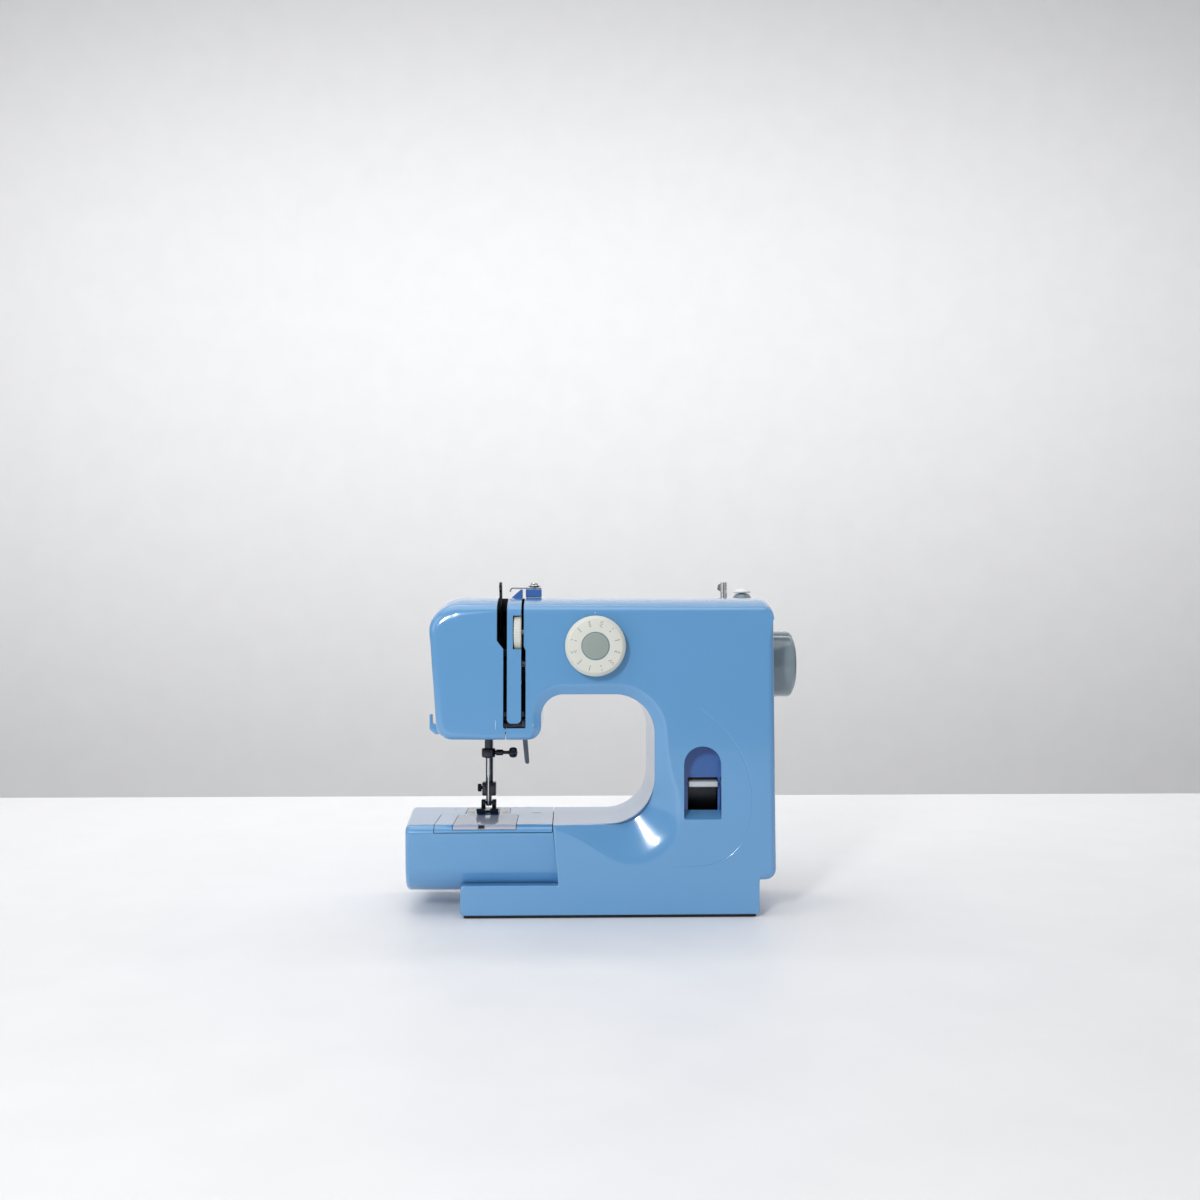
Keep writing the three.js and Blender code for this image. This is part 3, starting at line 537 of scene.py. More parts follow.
def casing_levels(points, steps=10):
    """For each outline point, the list of (inset, depth) from the side wall to the front face."""
    travelled = 0.0
    last = None
    styles = []
    for point in points:
        kind = edge_kind(point)
        if kind == "opening":
            travelled += (point - last).length if last else 0
            last = point
            width, depth = along(SLOPE_WIDTH, travelled), along(SLOPE_DEPTH, travelled)
            lip = 1.2
            levels = [(lip * (1 - math.cos(a)), depth + lip * (1 - math.sin(a))) for a in (0, 0.5, 1.05)]
            for k in range(steps - 2):
                t = k / (steps - 3)
                steepness = 2 / (1 + SLOPE_STRAIGHT)
                rest = 1 - steepness * t
                if t > SLOPE_STRAIGHT:
                    rest = steepness * (1 - t) ** 2 / (2 * (1 - SLOPE_STRAIGHT))
                levels.append((lip + (width - lip) * t, depth * rest))
        else:
            radius = SIDE_ROUND[kind]
            reach = CROWN_REACH if kind == "top" else radius
            levels = [(radius * (1 - math.cos(math.pi / 2 * k / steps)),
                       reach * (1 - math.sin(math.pi / 2 * k / steps))) for k in range(steps + 1)]
        styles.append(levels)
    print("opening edge", round(travelled, 1), "mm long")
    return styles


# %% [markdown]
# Neighbouring styles differ in width, so they are averaged along the outline. That gives the
# short transitions that a mould maker would also blend by hand.


# %% Front and rear halves
def blend_levels(points, styles, reach=3):
    count = len(points)
    result = []
    for i in range(count):
        picks = [styles[(i + d) % count] for d in range(-reach, reach + 1)
                 if (points[(i + d) % count] - points[i]).length < 16]
        result.append([(sum(s[k][0] for s in picks) / len(picks), sum(s[k][1] for s in picks) / len(picks))
                       for k in range(len(styles[0]))])
    return result


def casing_half(name, front):
    points = rounded(OUTER, 5.0, 5.0)
    lean = inward(points)
    if front:
        levels = blend_levels(points, casing_levels(points))
        face, seam, sign = FRONT, SEAM - 0.2, 1
        stations = [-47, -44, -38, -30, -20, -8, 2, seam]
    else:
        radius = 5.0
        quarter = [math.pi / 2 * k / 8 for k in range(9)]
        flat = [(radius * (1 - math.cos(a)), radius * (1 - math.sin(a))) for a in quarter]
        share = {"top": 0.0, "base": 0.26, "step": 0.1}
        levels = [[(a * share.get(edge_kind(p), 1), b) for a, b in flat] for p in points]
        levels = blend_levels(points, levels, 2)
        face, seam, sign = BACK, SEAM + 0.2, -1
        stations = [44, 38, 30, 20, seam]
    rings = []
    for k in reversed(range(len(levels[0]))):
        rings.append([crowned(Vector((p.x + n.x * lv[k][0], face + sign * lv[k][1], p.y + n.y * lv[k][0])))
                      for p, n, lv in zip(points, lean, levels)])
    for y in stations:
        rings.append([crowned(Vector((p.x, y, p.y))) for p in points])
    return solid_from_rings(name, rings, blue_abs, 30)


# %% [markdown]
# ## Hollowing the casing
# Both halves are shells, and the thread slots, the dial hole, the lever recess and the head's
# open underside look into them. The hollow follows the outline 3 mm in.

# %% Hollow and openings
HOLLOW = [
    (-28.5, 27, 0), (119, 5, 0), (119, 30.6, 0), (131.4, 30.6, 5), (130.2, 233, 5), (-127, 233, 18),
    (-120.6, 137.2, 9), (-47.6, 137.2, 7), (-47.6, 171.5, 20), (44.8, 171.5, 33),
    (44.8, 66.8, 37), (-32.4, 66.8, 0),
]


def head_window():
    return box(-112, -50, -8, 47, 126, 140, 3, "z")


# The hollow's cutter is near-black, painting shade on the inside walls of both halves.
def hollow(low, high):
    corners = [(-102.6, 4.8), (119, 4.8)] + HOLLOW[2:11] + [(-32.4, 66.8), (-28.6, 22), (-102.6, 22)]
    return prism("hollow", "y", corners, low, high, painted_shade_black)


ARM_POCKET = [(-45.9, 15, 27), (60, 15), (60, 80), (-57, 80), (-56, 70)]


def arm_pocket():
    return prism("pocket", "x", ARM_POCKET, -160, -35.4, blue_abs)


def shaft_window():
    return box(-45, -20, -38, 44, 25.5, 60)


RECESS_X, LEVER_X = 78.1, 79.9


def arch(grow, low, high, finish, edges=(0, 0)):
    half, sill = 14.2 + grow, 73.6 - grow
    corners = [(RECESS_X - half, sill, 2), (RECESS_X + half, sill, 2),
               (RECESS_X + half, 129.1 + grow, half - 0.1), (RECESS_X - half, 129.1 + grow, half - 0.1)]
    return prism("arch", "y", corners, low, high, finish, edges)


front_half = casing_half("front_casing", True)
combine(front_half, [hollow(-40, 30)])
combine(front_half, [arch(2, -52.5, -37, blue_abs)], "UNION")
ramp = prism("ramp", "x", [(-60, 70), (-38.7, 70), (-38.7, 79.5, 1), (FRONT, 73.8)], 60, 96, blue_abs)
# The recess pocket leaves painted-shade blue on the recess walls, darker where the light falls off inside.
pocket = combine(arch(0, -60, -39, painted_shade_blue), [ramp])
combine(front_half, [
    pocket, box(LEVER_X - 11.6, LEVER_X + 11.6, -39.5, -29, 60, 104), arm_pocket(), shaft_window(),
    head_window(), rod("y", 5, -60, -40, DIAL), rod("x", 8.5, 120, 140, AXLE),
])
print("front half", len(front_half.data.polygons))

# %% [markdown]
# ## The styled crease
# A fine crease sweeps round the lever recess. It is a shallow groove, made by sinking a thin
# bent rod just below the surface and cutting it away. The rod thins out at both ends.

# %% Crease
CREASE = [(72, 163), (79.8, 155.3), (91, 145.6), (100.3, 134.8), (110, 117.6), (114.8, 100.6), (115.9, 88),
          (115.1, 76.6), (111.8, 64), (105.6, 53.5), (95, 44.4), (82.1, 39.6), (68, 38.6), (52, 38.6)]


def smooth_path(points, parts=6):
    """Catmull-Rom curve through the points."""
    line = [Vector(p) for p in points]
    line = [2 * line[0] - line[1]] + line + [2 * line[-1] - line[-2]]
    result = []
    for a, b, c, d in zip(line, line[1:], line[2:], line[3:]):
        for k in range(parts):
            t = k / parts
            result.append(0.5 * (2 * b + (c - a) * t + (2 * a - 5 * b + 4 * c - d) * t * t
                                 + (3 * b - 3 * c + d - a) * t ** 3))
    return result + [line[-2]]


def bent_rod(points, radius, height):
    line = smooth_path(points)
    rings = []
    for i, here in enumerate(line):
        heading = (line[min(i + 1, len(line) - 1)] - line[max(i - 1, 0)]).normalized()
        across = Vector((heading.y, -heading.x))
        thin = radius * min(1, 0.72 + 0.05 * min(i, len(line) - 1 - i))
        rings.append([Vector((here.x + across.x * thin * math.cos(a), height + thin * math.sin(a),
                              here.y + across.y * thin * math.cos(a)))
                      for a in (2 * math.pi * k / 16 for k in range(16))])
    return solid_from_rings("crease_rod", rings, blue_abs)


combine(front_half, [bent_rod(CREASE, 0.75, FRONT - 0.53)])

# %% [markdown]
# ## Thread slots, tongue and face cover
# The take-up lever runs in the left slot and the thread goes down one slot and up the other.
# The tongue between them carries the tension dial's window. The piece left of the slots is
# the face cover, which meets the front casing in a fine seam.

# %% Slots
SLOT_BACK = -9.0


def copy_of(piece, name):
    twin = piece.copy()
    twin.data = piece.data.copy()
    twin.name = name
    bpy.context.scene.collection.objects.link(twin)
    return twin


# The slot cutter is near-black, painting shade into the thread slots.
def slot_region(grow):
    corners = [(-73.4 - grow, 143.1 - grow, 1.2), (-56.3 + grow, 143.1 - grow, 1.2), (-56.3 + grow, 202, 1),
               (-57.8 + grow, 205, 1), (-57.8 + grow, 260), (-78.3 - grow, 260), (-78.3 - grow, 209.5, 0.6),
               (-73.4 - grow, 203, 1)]
    return prism("slots", "y", corners, -62, SLOT_BACK, painted_shade_black)


tongue = combine(copy_of(front_half, "tension_tongue"), [
    prism("tongue", "y", [(-70.5, 146.7, 3.3), (-59.8, 146.7, 3.3), (-59.8, 260), (-70.5, 260)], -60,
          SLOT_BACK - 0.5, blue_abs)], "INTERSECT")
# The fin on the tongue is painted-shade blue, darker where shade falls.
fin = prism("fin", "y", [(-68.6, 240), (-59.9, 240), (-59.9, 249.8, 0.4), (-61.4, 249.8, 0.6),
                         (-68.6, 243.4, 0.3)], -21, -10, painted_shade_blue, (0.4, 0.4))
combine(tongue, [fin], "UNION")
window = box(-66.1, -57, -62, -30, 202.9, 228.5, 0.5)
window.data.materials[0] = black_abs
combine(tongue, [window])
# The lever room is cut near-black: painted shade behind the take-up lever.
lever_room = prism("lever_room", "z", rect(-78.3, -71, -52.2, SLOT_BACK), 190, 212, painted_shade_black)
combine(front_half, [slot_region(0), lever_room])
face_half = combine(copy_of(front_half, "face_cover_panel"), [box(-200, -71.8, -80, 80, 100, 300)],
                    "INTERSECT")
combine(front_half, [box(-200, -71.1, -80, 80, 100, 300)])
for piece, node in ((front_half, "front_cover"), (face_half, "face_cover"), (tongue, "tension_housing")):
    smooth(piece, 30)
    place(keep_flats(piece), node)

# %% Rear half
rear_half = casing_half("rear_casing", False)
combine(rear_half, [
    hollow(-5, 49), arm_pocket(), shaft_window(), head_window(), rod("x", 8.5, 120, 140, AXLE),
    rod("z", 3.3, 230, 250, AT_SPOOL), box(117, 129, 26.4, 33.6, 230, 250, 3.5, "z"),
    box(125, 140, SWITCH_Y - 8.3, SWITCH_Y + 8.3, SWITCH_Z - 11.3, SWITCH_Z + 11.3, 1.5, "x"),
    box(125, 140, SWITCH_Y - 10.3, SWITCH_Y + 10.3, SOCKET_Z - 8.3, SOCKET_Z + 8.3, 1.5, "x"),
    box(101, 130.5, 23.5, 36.5, 228, 236),
])
smooth(rear_half, 30)
place(keep_flats(rear_half), "rear_cover")

# %% [markdown]
# ## The free arm
# The free arm is a long box that sleeves slide over. Its front leans back and curls under to
# a narrow bottom, and its end face runs slightly outward towards the back. The bed cover and
# the bobbin cover are cut from the same form, so their surfaces run on without a step; a
# half-millimetre gap draws each seam.


# %% Free arm, bed cover and bobbin cover
def arm_block(name, inset, right, finish):
    profile = [(-44.5 + inset, 16.2 + inset, 26), (BACK - inset, 16.2 + inset, 6),
               (BACK - inset, BED_TOP - inset, 4.3), (-54.6 + inset, BED_TOP - inset, 7)]
    block = prism(name, "x", profile, -147 + inset, right, finish, (4.0, 0))
    for vertex in block.data.vertices:
        if vertex.co.x < -0.1:
            vertex.co.x -= 0.07 * (vertex.co.y - FRONT * MM)
    return block


def arm_shell(name):
    shell = combine(arm_block(name, 0, -31.5, blue_abs), [arm_block("core", 2.4, 0, black_abs)])
    step = prism("step", "y", [(-35.7, 0), (0, 0), (0, 90), (-36, 90), (-36, BED_TOP), (-31.8, 27.6),
                               (-31.8, 24.9), (-35.7, 24.9)], -80, 80, blue_abs)
    return combine(shell, [step])


arm = arm_shell("free_arm")
combine(arm, [box(-125.8, 0, -80, 6.9, 64, 90, 1.5, "z"), box(-106.9, -70.9, 6, 40.4, 60, 90, 1.5, "z")])
bed = combine(arm_shell("bed_panel"), [box(-125.3, -36.1, -80, 6.5, 64.5, 90, 1.2, "z")], "INTERSECT")
combine(bed, [box(-111.8, -63.2, -80, 1.4, 66.2, 90, 1.2, "z")])
lid = combine(arm_shell("bobbin_lid"), [box(-111.3, -63.7, -80, 0.9, 66.6, 90, 1.0, "z")], "INTERSECT")
combine(lid, [box(-92.3, -87.3, -80, -46.6, 67.1, 90)])
lid.data.materials.clear()
lid.data.materials.append(clear_acrylic)
for piece, node in ((arm, "arm_cover"), (bed, "bed_cover"), (lid, "bobbin_cover")):
    smooth(piece, 30)
    place(keep_flats(piece), node)

# %% [markdown]
# ## Stitch dial
# The dial is a thick moulded disc with a broken rim and a small printed centre disc. Around
# the face, fine printed strokes stand for the stitch choices: straight, dashed and zigzag.

# %% Stitch dial
dial = turned("stitch_dial_knob", "y", [
    (0, -67), (20.2, -67, 1.2), (22.9, -64.6, 1.5), (23, -56, 0.8), (19, -55.5), (4.6, -55.4), (4.6, -44),
    (15, -44), (15, -38), (12, -38), (12, -32), (0, -32)], DIAL, cream_abs)
combine(dial, [rod("y", 10.7, -70, -66.4, DIAL, segments=96)])
smooth(dial, 30)
place(dial, "stitch_dial")
cap = turned("dial_centre", "y", [(0, -67.2), (9.8, -67.2, 0.6), (10.4, -66.6, 0.3), (10.4, -66.4),
                                  (0, -66.4)], DIAL, print_grey)
place(cap, "dial_cap")

# %% [markdown]
# ## Handwheel
# The handwheel is a glossy smoke-grey drum with a softly rounded rim and a domed cap.

# %% Handwheel
wheel = turned("hand_wheel", "x", [
    (5.3, 135), (24.8, 135, 1), (26.4, 136.5, 1.5), (26.4, 155.2, 3.4), (22.2, 156.2, 1), (5.3, 156.2)],
    AXLE, smoke_abs)
place(wheel, "handwheel")
wheel_cap = turned("hand_wheel_cap", "x", [(0, 156.4), (21.6, 156.4), (21.2, 157.2, 0.8), (15, 158.1, 20),
                                           (0, 158.4)], AXLE, smoke_abs)
place(wheel_cap, "handwheel_cap")

# %% [markdown]
# ## Fluted knobs
# Small thumb screws and the tension wheel are gripped by fingertips, so their rims are cut
# with flutes. The outline steps in and out round the rim and narrows at both ends.


# %% Fluted wheel
def fluted(name, axis, radius, depth, count, low, high, at, material, chamfer=0.4):
    levels = [(low, chamfer), (low + chamfer, 0), (high - chamfer, 0), (high, chamfer)]
    rings = []
    for height, shrink in levels:
        ring = []
        for k in range(count * 4):
            reach = radius - shrink - (depth if k % 4 < 2 else 0)
            angle = 2 * math.pi * k / (count * 4)
            ring.append(TO_3D[axis](reach * math.cos(angle), reach * math.sin(angle), height) + Vector(at))
        rings.append(ring)
    return solid_from_rings(name, rings, material, 20)


# %% [markdown]
# ## Needle plate, screws and feed dog
# The needle plate is ground steel let into the arm. Two countersunk screws hold it, a round
# hole takes the needle and two slots let the toothed feed dog rise and push the cloth back.

# %% Needle plate and feed dog
plate = prism("needle_plate_steel", "z", rect(-106.5, -71.3, 7.2, 40, 1.5), BED_TOP - 2, BED_TOP,
              brushed_steel, (0, 0.3))
combine(plate, [box(x, x + 4.2, 10, 31, 60, 80, 1.2, "z") for x in (-96.4, -84.6)])
combine(plate, [rod("z", 1.8, 60, 80, (NEEDLE_X, NEEDLE_Y, 0))])
combine(plate, [rod("z", 2.5, 60, 80, (x, 18, 0)) for x in (-102.6, -75.2)])
place(soften(plate, 0.2), "needle_plate")
for number, x in ((1, -102.6), (2, -75.2)):
    screw = turned("plate_screw_head_" + str(number), "z", [
        (0, 62), (1.4, 62), (1.4, 68), (2.2, 68), (2.2, BED_TOP - 0.2, 0.15), (1.9, BED_TOP), (0, BED_TOP)],
        (x, 18, 0), brushed_steel, 32)
    combine(screw, [box(x - 3, x + 3, 17.7, 18.3, BED_TOP - 0.6, 80)])
    place(soften(screw, 0.08), "plate_screw_" + str(number))

carrier = box(-97, -79.8, 16, 27, 62, 65)
teeth = [(13, 63)] + [(13 + 1.5 * k + f, BED_TOP - (0.1 if f else 0.9)) for k in range(10) for f in (0, 1.2)]
teeth += [(28, BED_TOP - 0.9), (28, 63)]
for x in (-95.8, -84):
    combine(carrier, [prism("rib", "x", teeth, x, x + 3, brushed_steel)], "UNION")
carrier.name = "toothed_feed_dog"
carrier.data.materials.clear()
carrier.data.materials.append(brushed_steel)
place(soften(carrier, 0.08), "feed_dog")

# %% [markdown]
# ## Needle bar group
# The needle bar is a hard-chromed rod. The clamp at its end is a small collar with a fluted
# thumb screw; bar, clamp and screw are drawn dark, a painted reflection of dark surroundings
# in their plating. The needle has a long groove-free taper down to its point.

# %% Needle bar, clamp and needle
AT_NEEDLE = (NEEDLE_X, NEEDLE_Y, 0)
AT_CLAMP = (NEEDLE_X, NEEDLE_Y, 118.8)
bar = turned("needle_rod", "z", [(1.4, 114.4), (3.2, 114.4, 0.4), (3.2, 225, 0.4), (0, 225), (0, 124),
                                 (1.4, 124)], AT_NEEDLE, dark_steel_and_painted_reflection, 48)
place(bar, "needle_bar")
collar = turned("needle_collar", "z", [
    (3.5, 115), (5.2, 115, 0.5), (5.6, 116, 0.4), (5.6, 121.4, 0.4), (5.0, 122.4, 0.4), (3.5, 122.4)],
    AT_NEEDLE, dark_steel_and_painted_reflection, 64)
combine(collar, [rod("x", 1.9, 2, 9, AT_CLAMP)])
smooth(collar, 30)
place(collar, "needle_clamp")
shaft = turned("clamp_thumb_screw", "x", [
    (0, 3.7), (1.6, 3.7), (1.6, 6), (2.4, 6.2, 0.2), (2.4, 11.6, 0.4), (1.4, 12.2, 0.2), (1.4, 17),
    (0, 17)], AT_CLAMP, dark_steel_and_painted_reflection, 48)
knob = fluted("knob", "x", 4.2, 0.2, 24, 18.4, 21.6, AT_CLAMP, dark_steel_and_painted_reflection, 0.3)
tip = turned("tip", "x", [(0, 16.2), (1.6, 16.2), (3.9, 17.4, 1.2), (4, 19), (4, 21, 0.4), (3.7, 22.8, 1.4),
                          (0, 23.6)], AT_CLAMP, dark_steel_and_painted_reflection, 64)
combine(shaft, [knob, tip], "UNION")
smooth(shaft, 30)
place(shaft, "needle_clamp_screw")
needle = turned("machine_needle", "z", [
    (0, 74.5), (0.22, 75.4), (0.42, 77.5), (0.5, 80), (0.5, 98), (1.05, 101.2, 1), (1.05, 123), (0, 123)],
    AT_NEEDLE, bright_chrome, 32)
combine(needle, [rod("y", 0.2, 10, 14, (NEEDLE_X, 0, 77.4), segments=16)])
smooth(needle, 40)
place(needle, "needle")

# %% [markdown]
# ## Presser bar and foot
# The presser bar carries the foot holder. The holder's shank drops onto a pin, and the
# stamped foot tilts a few degrees on it. The two toes curl up so cloth can slide under.

# %% Presser bar, holder, screw and foot
AT_PRESSER = (NEEDLE_X, PRESSER_Y, 0)
# The presser bar, holder, screw and foot are drawn in dark steel; their darkness is painted reflection of
# dark surroundings in the plating.
place(turned("presser_rod", "z", [(0, 86), (3, 86, 0.4), (3, 222, 0.4), (0, 222)], AT_PRESSER, dark_steel_and_painted_reflection,
             48), "presser_bar")
holder = prism("foot_block", "z", rect(NEEDLE_X - 5.6, NEEDLE_X + 5.6, 18.6, 29.6, 1.5), 83, 94,
               dark_steel_and_painted_reflection, (0.5, 0.8))
shank = prism("shank", "x", [(17.3, 75, 1), (23.5, 75, 1.5), (25, 84), (17.3, 84)], NEEDLE_X - 2.2,
              NEEDLE_X + 2.2, dark_steel_and_painted_reflection, (0.3, 0.3))
pin = turned("pin", "x", [(0, -6), (1.2, -5.8, 0.2), (1.2, 5.8, 0.2), (0, 6)], (NEEDLE_X, 20.5, 77.3),
             dark_steel_and_painted_reflection, 24)
combine(holder, [shank, pin], "UNION")
combine(holder, [rod("z", 3.3, 85.7, 100, AT_PRESSER), rod("x", 1.8, -9, -2, (NEEDLE_X, PRESSER_Y, 89))])
smooth(holder, 30)
place(holder, "foot_holder")
AT_FOOT_SCREW = (NEEDLE_X, PRESSER_Y, 89)
foot_screw = turned("foot_thumb_screw", "x", [(0, -6.6), (1.5, -6.6), (1.5, -3.6), (0, -3.6)],
                    AT_FOOT_SCREW, dark_steel_and_painted_reflection, 24)
combine(foot_screw, [fluted("knob", "x", 3.2, 0.3, 14, -9.4, -6.3, AT_FOOT_SCREW, dark_steel_and_painted_reflection, 0.4)],
        "UNION")
smooth(foot_screw, 30)
place(foot_screw, "foot_screw")
plan = [(-2.2, -6, 0), (-2.2, 15, 1), (2.2, 15, 1), (2.2, -6, 0),
        (8.8, -6, 0), (8.8, 31, 2), (-8.8, 31, 2), (-8.8, -6, 0)]
sole_plan = prism("plan", "z", [(NEEDLE_X + x, y, r) for x, y, r in reversed(plan)], 60, 80, dark_steel_and_painted_reflection)
sole = prism("zigzag_foot", "x", [
    (-1.9, 74.6, 0.5), (0.6, 71.6, 6), (4.5, 70.1, 8), (31, 70.1, 0.5), (31, 71.7, 0.5), (4.8, 71.9, 6),
    (1.4, 73.2, 6), (-1.1, 75.6, 0.5)], NEEDLE_X - 8.8, NEEDLE_X + 8.8, dark_steel_and_painted_reflection, (0.4, 0.4))
combine(sole, [sole_plan], "INTERSECT")
for low, high in ((-6, -2.6), (2.6, 6)):
    cheek = prism("cheek", "x", [(15.5, 70.8), (26, 70.8), (25, 80, 2.5), (16, 80, 2.5)], NEEDLE_X + low,
                  NEEDLE_X + high, dark_steel_and_painted_reflection, (0.3, 0.3))
    combine(sole, [cheek], "UNION")
combine(sole, [rod("x", 1.5, -10, 10, (NEEDLE_X, 20.5, 77.3))])
smooth(sole, 30)
place(soften(sole, 0.12), "presser_foot")

# %% [markdown]
# ## Presser lifter, take-up lever and thread cutter
# The lifter is a grey moulded blade with rounded edges, pivoted inside the head. The take-up
# lever is a pressed steel arm whose eye rides in the left slot. The thread cutter is a small
# moulded hook on the head's left side with a slit that hides a blade.

# %% Levers in the head
lifter = prism("lifter_blade", "x", [
    (23.5, 145, 3.5), (23.5, 134, 4), (27, 110, 4), (29.5, 107.7, 2.5), (37.5, 107.7, 3), (32.5, 134, 4),
    (32.5, 145, 3.5)], -62, -58.4, lever_grey, (1.5, 1.5))
combine(lifter, [rod("x", 2.3, -65, -51, LIFTER_PIN)])
for vertex in lifter.data.vertices:
    vertex.co.x += 0.1 * max(0, 134 * MM - vertex.co.z)
smooth(lifter, 30)
place(lifter, "presser_lifter")

swing = Vector((-36 + 8, 250.8 - 200)).normalized()
side = Vector((-swing.y, swing.x))
hub_end, eye_end = Vector((-8, 200)), Vector((-36, 250.8))
blade = [hub_end + side * 4.5, eye_end + side * 2.2, eye_end - side * 2.2, hub_end - side * 4.5]
lever = prism("take_up_arm", "x", [tuple(p) for p in blade], -77.4, -75.2, dark_steel_and_painted_reflection, (0.4, 0.4))
hub = turned("hub", "x", [(0, -77.4), (5.6, -77.4), (6, -77, 0.2), (6, -75.6, 0.2), (5.6, -75.2),
                          (0, -75.2)], TAKE_UP, dark_steel_and_painted_reflection, 48)
eye = turned("eye", "x", [(0, -77.4), (3.6, -77.4), (4, -77, 0.2), (4, -75.6, 0.2), (3.6, -75.2), (0, -75.2)],
             (0, -36, 250.8), dark_steel_and_painted_reflection, 48)
combine(lever, [hub, eye], "UNION")
combine(lever, [rod("x", 3.3, -80, -70, TAKE_UP), rod("x", 1.5, -80, -70, (0, -36, 250.8))])
smooth(lever, 30)
place(lever, "take_up_lever")

cutter = prism("thread_cutter_hook", "y", [
    (-131.6, 140.6, 3), (-127, 136.6, 2), (-121.6, 137.4), (-123.5, 140), (-124.8, 143.6),
    (-129.4, 145.6, 0.6), (-129.6, 152.4, 0.8), (-131.6, 152.4, 0.8)], -30, -22, blue_abs, (0.8, 0.8))
place(cutter, "thread_cutter")

# %% [markdown]
# ## Tension wheel and stitch marks
# The thread tension wheel shows its fluted rim in the window of the tongue. The dial carries
# printed strokes: short straight stitches, dashes and zigzags, which stand for the choices.

# %% Tension wheel
tension = fluted("tension_dial_wheel", "x", 15, 0.3, 44, -65.4, -59.7, TENSION_AT, cream_abs, 0.7)
combine(tension, [rod("x", 2.3, -70, -50, TENSION_AT)])
place(tension, "tension_wheel")


# %% Printed strokes
def stroke(points, axis, height, width=0.45, thickness=0.06):
    """A flat printed line through points of the plane across the axis, just above a surface."""
    line = [Vector(p) for p in points]
    left, right = [], []
    for i, here in enumerate(line):
        heading = (line[min(i + 1, len(line) - 1)] - line[max(i - 1, 0)]).normalized()
        across = Vector((-heading.y, heading.x)) * width / 2
        left.append(here + across)
        right.append(here - across)
    outline = left + right[::-1]
    rings = [[TO_3D[axis](p.x, p.y, h) for p in outline] for h in (height, height + thickness)]
    return rings


def printed(name, strokes, node, material):
    """Joins many strokes into one printed layer that rides with the node it is printed on."""
    pieces = [solid_from_rings(name, rings, material, 180) for rings in strokes]
    mesh = bmesh.new()
    for piece in pieces:
        mesh.from_mesh(piece.data)
    mesh.to_mesh(pieces[0].data)
    mesh.free()
    for piece in pieces[1:]:
        bpy.data.objects.remove(piece)
    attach(pieces[0], body_of_node[node])
    print("printed", name, len(strokes), "strokes on", node)


def dial_marks():
    """Twelve stitch signs round the dial, turned so that each one faces outward."""
    signs = [
        [[(0, -2), (0, 2)]],
        [[(0, -2.2), (0, -0.8)], [(0, 0.8), (0, 2.2)]],
        [[(-1, -2.2), (1, -1.1), (-1, 0), (1, 1.1), (-1, 2.2)]],
        [[(-0.6, -2.2), (0.6, -1.5), (-0.6, -0.8), (0.6, 0), (-0.6, 0.8), (0.6, 1.5), (-0.6, 2.2)]],
    ]
    result = []
    for place_number in range(12):
        turn = math.radians(15 + 30 * place_number)
        centre = Vector((DIAL[0] + 17 * math.cos(turn), DIAL[2] + 17 * math.sin(turn)))
        for sign in signs[place_number % len(signs)]:
            out = Vector((math.cos(turn), math.sin(turn)))
            points = [centre + out * v + Vector((-out.y, out.x)) * u for u, v in sign]
            result.append(stroke(points, "y", -67.04, 0.42))
    return result


printed("dial_print", dial_marks(), "stitch_dial", print_dark)
printed("pointer_mark", [stroke([(-3.6, 229.4), (-3.6, 231.4)], "y", -55.04, 0.9)], "front_cover", print_pale)
printed("threading_mark_left", [stroke([(-79, 142), (-79, 149)], "y", -55.04, 0.7)], "face_cover", print_pale)
printed("threading_mark_right", [stroke([(-51.6, 145.4), (-50.4, 146.6), (-50.4, 144.2), (-51.6, 145.4)],
                                        "y", -55.04, 0.5)], "front_cover", print_pale)
bed_dashes = [[(-68.6, 47), (-66.4, 47)], [(-58.6, 47), (-55.6, 47)], [(-118, 36), (-116, 36)],
              [(-53, 14), (-46, 14)]]
printed("bed_marks", [stroke(dash, "z", BED_TOP, 0.7, 0.08) for dash in bed_dashes], "arm_cover", print_dark)

# %% [markdown]
# ## Reverse lever
# The lever's pale grip sticks out of a black curved shield. The shield fills the recess at
# every lever position, so no one sees the works behind it.

# %% Reverse lever and shield
def round_lever(radius, degrees):
    angle = math.radians(degrees)
    return (LEVER_AT.x - radius * math.cos(angle), LEVER_AT.y + radius * math.sin(angle))


sweep = [-44 + 3 * k for k in range(22)]
outside = [round_lever(30, a) for a in sweep]
inside = [round_lever(28.6, a) for a in reversed(sweep)]
shield = prism("lever_apron", "x", outside + inside, LEVER_X - 11.1, LEVER_X + 11.1, black_abs)
for low, high in ((-11.1, -9.1), (9.1, 11.1)):
    arm_plate = prism("arm", "x", [round_lever(29.3, -30), round_lever(29.3, 12), round_lever(3, 110),
                                   round_lever(3, -110)], LEVER_X + low, LEVER_X + high, black_abs)
    combine(shield, [arm_plate], "UNION")
combine(shield, [rod("x", 4, LEVER_X - 11.1, LEVER_X + 11.1, (0, -5, 99)),
                 rod("x", 2, LEVER_X - 14.1, LEVER_X + 14.1, (0, -5, 99))], "UNION")
smooth(shield, 30)
place(shield, "lever_shield")
grip = prism("lever_grip", "x", [(-43.6, 96.9, 1.4), (-35.3, 96.4, 0.4), (-35.3, 101.7, 0.4),
                                 (-43.6, 101.2, 1.4)], LEVER_X - 11.3, LEVER_X + 11.3, pale_abs, (1.0, 1.0))
place(grip, "reverse_lever")

# %% [markdown]
# ## Thread guide on the crown
# The thread runs under a small sprung disc before it reaches the slots. The disc, its screw
# and the folded guide plate are plated steel and sit on a moulded block.

# %% Thread guide
GUIDE = (-50.9, -15, 0)
